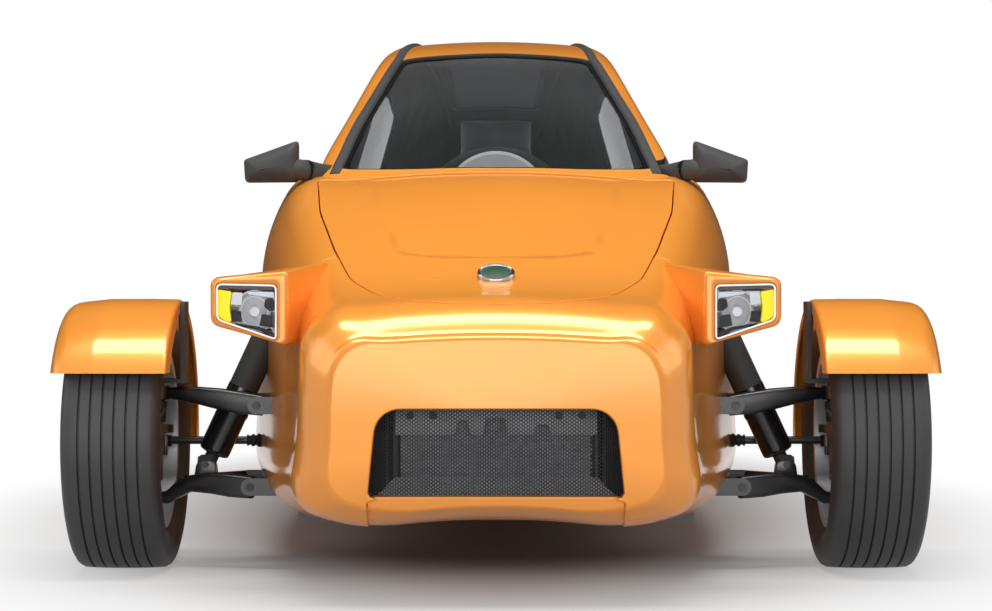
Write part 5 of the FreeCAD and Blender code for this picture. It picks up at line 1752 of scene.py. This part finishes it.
def puffed(obj, cap, channels=(), axis_at=None):
    """Cloth swelled by a little pressure, held to a cap, with sewn channels pressed in afterwards."""
    scene = bpy.context.scene
    last_frame = 16
    for poly in obj.data.polygons:
        poly.use_smooth = True
    remesh = obj.modifiers.new("remesh", "REMESH")
    remesh.mode, remesh.voxel_size, remesh.use_smooth_shade = "VOXEL", 0.007, True
    plain_mesh(obj)
    before = vertex_values(obj, "co")
    cloth = obj.modifiers.new("cloth", "CLOTH")
    cloth.settings.quality = 4
    cloth.settings.use_pressure = True
    cloth.settings.uniform_pressure_force = 4.0
    cloth.settings.effector_weights.gravity = 0.0
    cloth.collision_settings.use_collision = False
    cloth.point_cache.frame_start, cloth.point_cache.frame_end = 1, last_frame
    for frame_number in range(1, last_frame + 1):
        scene.frame_set(frame_number)
    plain_mesh(obj)
    scene.frame_set(1)
    move = vertex_values(obj, "co") - before
    size = np.linalg.norm(move, axis=1, keepdims=True)
    move_to(obj, before + move * np.minimum(1.0, cap * MM / np.maximum(size, 1e-9)))
    if channels:
        normals, co = vertex_values(obj, "normal"), vertex_values(obj, "co")
        for way, level, wide, deep in channels:
            along = co[:, 0] if way == "x" else (co - np.array(axis_at[0]) * MM) @ np.array(axis_at[1])
            near = np.abs(along - level * MM) / (wide * MM)
            co = co - normals * (deep * MM * np.exp(-near ** 2 * 2.2))[:, None]
        move_to(obj, co)
    return obj


def build_seat(word):
    """Cushion, back and headrest of one seat as padded pieces, and its plinth."""
    v = SEATS[word]
    foot = v["front"] + v["reach"] - 10
    top = foot + v["recline"]
    made = {}
    seams = {part: [("x", side * v[part] * 0.56, 5, 9) for side in (-1, 1)] for part in ("base", "back")}
    made["cushion"] = puffed(
        soft_block(word + "_cushion", v["base"] - 12, (v["front"] + 14, v["cushion"] - 28),
                   (v["front"] + v["reach"] + 30, v["cushion"] - 44), 88), 9, seams["base"])
    lean = normed(np.array([0.0, v["recline"], v["top"] - v["cushion"]]))
    made["back"] = puffed(
        soft_block(word + "_back", v["back"] - 12, (foot + 66, v["cushion"] + 6), (top + 38, v["top"] - 12), 84), 9,
        seams["back"] + [("along", 210, 5, 7), ("along", 420, 5, 7)], ((0, y_at(foot), v["cushion"]), lean))
    made["headrest"] = puffed(
        soft_block(word + "_headrest", 94, (top + 44, v["top"] + 18), (top + 56, v["top"] + v["rest"] - 10), 62), 8)
    plinth = lofted(word + "_plinth", [
        [(x, y_at(s), z) for x, s in ((-1, a), (1, a), (1, b), (-1, b)) for x in (x * (v["base"] - w),)]
        for a, b, w, z in ((v["front"] + 60, v["front"] + v["reach"] - 90, 40, FLOOR_TOP + 0.5),
                           (v["front"] + 66, v["front"] + v["reach"] - 96, 46, v["cushion"] - 66))
    ], "shell_lining")
    posts = [tube("post", [(x, y_at(top + 38), v["top"] - 40), (x, y_at(top + 46), v["top"] + 30)], 6,
                  "chrome", 14) for x in (-48, 48)]
    made["frame"] = joined(word + "_seat_frame", [plinth] + posts)
    return made


STEERING_HUB = np.array([0.0, y_at(830), 715.0])
COLUMN_TILT = math.radians(24)
COLUMN_WAY = np.array([0.0, -math.cos(COLUMN_TILT), -math.sin(COLUMN_TILT)])


def build_steering_wheel():
    """Leather rim with a seam, three flat spokes, a padded hub with a cap, and the column."""
    hub, axis = STEERING_HUB, COLUMN_WAY
    across = np.array([1.0, 0, 0])
    up = np.cross(axis, across)
    ring = [hub + (across * math.cos(a) + up * math.sin(a)) * 168 for a in angles(96)]
    bits = [tube("grip", ring, 13.6, "grip_leather", 20, closed=True),
            tube("seam", [p + (hub - p) / 168 * 13.4 for p in ring], 1.2, "shell_lining", 8, closed=True)]
    for way in (across, -across, -up):
        side = np.cross(way, axis)
        bits.append(lofted("spoke", [
            [hub + way * d + side * wide * math.cos(a) + axis * thick * math.sin(a) for a in angles(16)]
            for d, wide, thick in ((30, 24, 9), (60, 17, 6), (110, 14, 5), (160, 18, 7))], "black_trim"))
    bits.append(lofted("boss", [
        [hub + axis * d + (across * math.cos(a) + up * math.sin(a)) * r for a in angles(48)]
        for d, r in ((24, 40), (14, 47), (-2, 48), (-9, 45), (-12, 37), (-12.6, 20), (-12.8, 1))], "grip_leather"))
    bits.append(tube("column", [hub + axis * 20, hub + axis * 330], 8.8, "satin_steel", 24))
    return joined("steering_wheel_trim", bits)


def build_dash():
    """Padded dash with a hooded instrument binnacle, a vent on each side, the column's shroud and a beam."""
    section = smooth_profile([
        (410, 562, 18), (404, 700, 34), (440, 772, 50), (560, 768, 50), (632, 702, 40), (616, 562, 20)])
    rings = []
    for x in (-329, -326, -318, -240, -120, 0, 120, 240, 318, 326, 329):
        shrink = {329: 7, 326: 2.2, 318: 0.4}.get(abs(x), 0)
        mid_s, mid_z = np.mean(section, axis=0)
        rings.append([(x, y_at(s + (mid_s - s) * shrink / 90), z + (mid_z - z) * shrink / 90) for s, z in section])
    bits = [lofted("dash", rings, "dash_skin")]
    half_turn = [math.pi * k / 40 for k in range(41)]
    bits.append(lofted("hood", [
        [(r * math.cos(a), y_at(s), 742 + r * math.sin(a)) for a in half_turn] + [(-r, y_at(s), 703), (r, y_at(s), 703)]
        for s, r in ((592, 104), (590, 112), (594, 118.5), (604, 120), (630, 120), (639, 118), (640, 114), (634, 109),
                     (612, 105), (604, 98))], "binnacle_grey"))
    for x, r in ((-48, 40), (46, 46)):
        bits.append(lofted("dial", [
            [(x + r * k * math.cos(a), y_at(s), 780 + r * k * math.sin(a)) for a in angles(48)] for s, k in (
                (604, 1.0), (609, 1.0), (611, 0.96), (610.5, 0.9), (607.5, 0.88), (607.2, 0.02))], "lamp_dark"))
        # the needle takes the signal lens's yellow, and its faint glow on the needle is a painted glow
        bits.append(tube("needle", [(x, y_at(608.4), 780), (x + r * 0.5, y_at(608.4), 780 + r * 0.52)], 1.4,
                         "signal_yellow", 8))
    for x in (-262, 262):
        bits.append(rounded_slab("vent", [(x - 40, 706, 8), (x - 40, 738, 8), (x + 40, 738, 8), (x + 40, 706, 8)],
                                 lambda u, v: (u, y_at(603 + (738 - v) * 0.55), v), (0, 8, 0), "lamp_dark", 1.5, 2))
        for k in range(4):
            z = 711 + k * 7.4
            y = y_at(613.5 + (738 - z) * 0.55)
            bits.append(tube("vane", [(x - 36, y, z), (x + 36, y, z)], 1.6, "black_trim", 8))
    bits.append(tube("shroud", [STEERING_HUB + COLUMN_WAY * d for d in (60, 64, 200, 300, 370)], 26, "black_trim", 32,
                     taper=[22, 26, 27, 30, 30]))
    bits.append(lofted("beam", [
        [(x, y_at(s), z) for x, s in ((-299, 382.0), (299, 382.0), (299, 429), (-299, 429))] for z in (601, 689)
    ], "shell_lining"))
    return joined("dash_top", bits)


# ---- tail
def build_tail_lamps():
    """Left tail lamp: a ribbed red lens in a dark bezel."""
    bits = [
        plate("bezel", [(72, 556, 12), (72, 612, 12), (158, 604, 12), (166, 562, 12)], 3438.3, 6, "black_trim", 1.5, 3),
        plate("lens", [(76, 560, 10), (76, 608, 10), (155, 600.5, 10), (162, 565, 10)], 3442, 7.4, "tail_red", 2.6, 4),
    ]
    for k in range(9):
        x = 84 + k * 8.6
        bits.append(tube("rib", [(x, y_at(3449.2), 566), (x, y_at(3449.2), 601 - k * 0.6)], 1.1, "tail_red", 8))
    return joined("tail_lens_left", bits)


def build_plate():
    """Plate carrier with a bare plate and its two screws."""
    return joined("plate_bare", [
        plate("carrier", [(-92, 440, 6), (-92, 535, 6), (92, 535, 6), (92, 440, 6)], 3438.3, 4, "black_trim", 1.2),
        plate("plate", [(-88, 444, 6), (-88, 531, 6), (88, 531, 6), (88, 444, 6)], 3442, 2.4, "plate_white", 0.7),
        fasteners("plate_screws", [((x, y_at(3444.4), 515), (0, 1, 0)) for x in (-70, 70)], 4, 3),
    ])


# ---- settings
def setting(kind, name, description, default, **own):
    """One of the car's own properties."""
    return kind(name=name, description=description, default=default, **own)


def length(name, description, default):
    return setting(bpy.props.FloatProperty, name, description, default, unit="LENGTH")


def power(name, description, default):
    return setting(bpy.props.FloatProperty, name, description, default, min=0, unit="POWER")


def colour(name, description, default):
    return setting(bpy.props.FloatVectorProperty, name, description, default, subtype="COLOR", min=0, max=1)


class CarSizes(bpy.types.PropertyGroup):
    """Sizes a user would change."""

    groove_count: setting(bpy.props.IntProperty, "Tread grooves", "Grooves round each front tyre", 6, min=0, max=10)
    groove_pitch: length("Groove pitch", "Distance from one tread groove to the next", 0.0224)
    groove_width: length("Groove width", "Width of one tread groove", 0.0032)
    groove_depth: length("Groove depth", "Depth of one tread groove", 0.006)
    mesh_pitch: length("Mesh pitch", "Width of one opening of the grille mesh", 0.0084)
    mesh_rise: length("Mesh rise", "Height of one row of the grille mesh", 0.0031)
    mesh_wire: length("Mesh wire", "Radius of the grille mesh's bars", 0.0008)


class CarColours(bpy.types.PropertyGroup):
    """Colours and lights a user would change."""

    paint: colour("Paint", "Body colour", (0.84, 0.3, 0.04))
    trim: colour("Trim", "Colour of the black plastic parts", (0.021, 0.021, 0.022))
    soft_level: setting(bpy.props.FloatProperty, "Soft light", "Level of the light from all round", 0.235,
                        min=0)
    overhead_power: power("Overhead light", "Power of the light above the car", 125.0)
    front_power: power("Front light", "Power of the light over the nose", 105.0)
    wall_power: power("Wall light", "Power of the broad light behind the camera", 270.0)
    side_power: power("Side lights", "Power of each light beside the car", 40.0)


def placed(obj, body, slot, *nodes):
    """A finished piece rides on its body and stands for its CAD nodes. The slot is not used."""
    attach(obj, body)
    if nodes:
        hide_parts(*nodes)
    return obj


# ---- operators
class CAR_OT_finishes(bpy.types.Operator):
    """Makes every finish and gives the frame's own parts theirs"""

    bl_idname = "car.finishes"
    bl_label = "Finishes"

    def execute(self, context):
        make_materials(context.scene.car_colours)
        for name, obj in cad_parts.items():
            obj.data.materials.clear()
            obj.data.materials.append(material(NODE_FINISH[name]))
        return {"FINISHED"}


class CAR_OT_panels(bpy.types.Operator):
    """Builds the painted skins of the body, nose, hood, door, roof and hatch"""

    bl_idname = "car.panels"
    bl_label = "Painted panels"

    def execute(self, context):
        stands = {
            "hood_skin": ("hood", "hood_panel"), "door_skin": ("door", "door_panel"),
            "hatch_skin": ("hatch", "hatch_panel"), "roof_skin": ("chassis", "roof_frame"),
            "nose_skin": ("chassis", "front_fascia"), "body_skin": ("chassis", "body_shell"),
        }
        for name, pieces in build_panels().items():
            body, node = stands[name]
            placed(mesh_object(name, pieces), body, "paint", node)
        placed(hatch_seal(), "chassis", "black_trim")
        return {"FINISHED"}


class CAR_OT_glazing(bpy.types.Operator):
    """Builds the panes with their printed black borders"""

    bl_idname = "car.glazing"
    bl_label = "Panes"

    def execute(self, context):
        homes = {"windshield_pane": ("chassis", "windshield"), "hatch_pane": ("hatch", "hatch_glass"),
                 "door_pane": ("door", "door_glass"), "side_panes": ("chassis", "side_glass")}
        for name, obj in build_glazing().items():
            placed(obj, homes[name][0], "window_glass", homes[name][1])
        return {"FINISHED"}


class CAR_OT_nose(bpy.types.Operator):
    """Builds the grille mesh, the duct and radiator behind it and the plain oval badge"""

    bl_idname = "car.nose"
    bl_label = "Nose and grille"

    def execute(self, context):
        placed(build_grille(context.scene.car_sizes), "chassis", "grille_mesh", "grille")
        placed(build_duct(), "chassis", "black_metal")
        placed(build_radiator(), "chassis", "radiator_core", "radiator")
        placed(build_badge(), "hood", "black_trim")
        return {"FINISHED"}


class CAR_OT_roof_rails(bpy.types.Operator):
    """Builds the black mouldings along the pillars and the roof"""

    bl_idname = "car.roof_rails"
    bl_label = "Roof rails"

    def execute(self, context):
        for obj in build_rails():
            placed(obj, "chassis", "black_trim")
        return {"FINISHED"}


class CAR_OT_headlights(bpy.types.Operator):
    """Builds the headlight pods, the lamps in them and their lenses"""

    bl_idname = "car.headlights"
    bl_label = "Headlights"

    def execute(self, context):
        housing, lamp, lens = build_headlight()
        for obj, label, slot, node in ((housing, "headlight_pod", "paint", "headlight_housings"),
                                       (lamp, "headlight_lamp", "lamp_chrome", "headlight_reflectors"),
                                       (lens, "headlight_lens", "lamp_lens", "headlight_lenses")):
            placed(both_sides(obj, label + "s"), "chassis", slot, node)
        return {"FINISHED"}


class CAR_OT_mirrors(bpy.types.Operator):
    """Builds both door mirrors"""

    bl_idname = "car.mirrors"
    bl_label = "Mirrors"

    def execute(self, context):
        shell, glass = build_mirror()
        for obj, label, slot, node in ((shell, "mirror_shells", "mirror_shell", "mirror_housings"),
                                       (glass, "mirror_faces", "mirror_face", "mirror_glass")):
            placed(both_sides(obj, label), "chassis", slot, node)
        return {"FINISHED"}


class CAR_OT_wheels(bpy.types.Operator):
    """Builds the tyres, wheel bolts and caps"""

    bl_idname = "car.wheels"
    bl_label = "Wheels"

    def execute(self, context):
        sizes = context.scene.car_sizes
        for side, word in ((1, "left"), (-1, "right")):
            tyre = build_tyre("tyre_tread_" + word, side * WHEEL_X, 0, AXLE_Z, TYRE_R, 188, 165, 70, sizes)
            placed(tyre, "front_wheel_" + word, "rubber_tread", "tyre_" + word)
            placed(build_rim_trim(side, word), "front_wheel_" + word, "rim_alloy")
        rear = build_tyre("rear_tyre_tread", 0, REAR_S, REAR_R, REAR_R, 172, 190.5, 62, sizes)
        placed(rear, "rear_wheel", "rubber_tread", "rear_tyre")
        placed(build_rear_trim(), "rear_wheel", "rim_alloy")
        return {"FINISHED"}


class CAR_OT_fenders(bpy.types.Operator):
    """Builds the two fenders that turn with the front wheels"""

    bl_idname = "car.fenders"
    bl_label = "Fenders"

    def execute(self, context):
        left = build_fender("fender_skin_left")
        right = mirror_copy(left, "fender_skin_right")
        placed(left, "knuckle_left", "paint", "fender_left")
        placed(right, "knuckle_right", "paint", "fender_right")
        return {"FINISHED"}


class CAR_OT_suspension(bpy.types.Operator):
    """Dresses the arms, dampers, rack and knuckles"""

    bl_idname = "car.suspension"
    bl_label = "Suspension"

    def execute(self, context):
        for build, body in ((build_arm_castings, "chassis"), (build_shock_dress, "chassis"),
                            (build_rack_boot, "chassis"), (build_knuckle_dress, "knuckle")):
            left = build()
            for word, obj in (("left", left), ("right", mirror_copy(left, left.name.replace("left", "right")))):
                placed(obj, body if body == "chassis" else "knuckle_" + word, "black_metal")
        return {"FINISHED"}


class CAR_OT_cabin(bpy.types.Operator):
    """Builds the seats, the dash and the steering wheel"""

    bl_idname = "car.cabin"
    bl_label = "Cabin"

    def execute(self, context):
        for word in SEATS:
            for part, obj in build_seat(word).items():
                placed(obj, "chassis", "lining" if part == "frame" else "seat_cover", "seats")
        placed(build_dash(), "chassis", "dash_skin", "dashboard")
        placed(build_steering_wheel(), "steering_wheel", "wheel_grip", "steering_wheel_rim")
        return {"FINISHED"}


class CAR_OT_tail(bpy.types.Operator):
    """Builds the tail lamps and the bare plate"""

    bl_idname = "car.tail"
    bl_label = "Tail"

    def execute(self, context):
        placed(both_sides(build_tail_lamps(), "tail_lenses"), "chassis", "tail_red", "tail_lamps")
        placed(build_plate(), "chassis", "black_trim", "plate_holder")
        return {"FINISHED"}


class CAR_OT_stage(bpy.types.Operator):
    """Builds the floor, the lights and the camera"""

    bl_idname = "car.stage"
    bl_label = "Stage"

    def execute(self, context):
        build_stage(context.scene.car_colours)
        return {"FINISHED"}


OPERATORS = (
    CAR_OT_finishes, CAR_OT_panels, CAR_OT_glazing, CAR_OT_nose, CAR_OT_roof_rails, CAR_OT_headlights, CAR_OT_mirrors,
    CAR_OT_wheels, CAR_OT_fenders, CAR_OT_suspension, CAR_OT_cabin, CAR_OT_tail, CAR_OT_stage,
)


class CAR_PT_looks(bpy.types.Panel):
    """Lists the car's sizes, colours and pieces"""

    bl_idname = "CAR_PT_looks"
    bl_label = "Three wheeled car"
    bl_space_type = "VIEW_3D"
    bl_region_type = "UI"
    bl_category = "Car"

    def draw(self, context):
        for settings in (context.scene.car_sizes, context.scene.car_colours):
            for name in settings.__annotations__:
                self.layout.prop(settings, name)
        for operator in OPERATORS:
            self.layout.operator(operator.bl_idname)


def register():
    for cls in (CarSizes, CarColours) + OPERATORS + (CAR_PT_looks,):
        bpy.utils.register_class(cls)
    bpy.types.Scene.car_sizes = bpy.props.PointerProperty(type=CarSizes)
    bpy.types.Scene.car_colours = bpy.props.PointerProperty(type=CarColours)


def unregister():
    del bpy.types.Scene.car_sizes
    del bpy.types.Scene.car_colours
    for cls in reversed((CarSizes, CarColours) + OPERATORS + (CAR_PT_looks,)):
        bpy.utils.unregister_class(cls)


def main():
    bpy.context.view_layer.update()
    register()
    for operator in OPERATORS:
        family, name = operator.bl_idname.split(".")
        getattr(getattr(bpy.ops, family), name)()


if __name__ == "__main__":
    main()
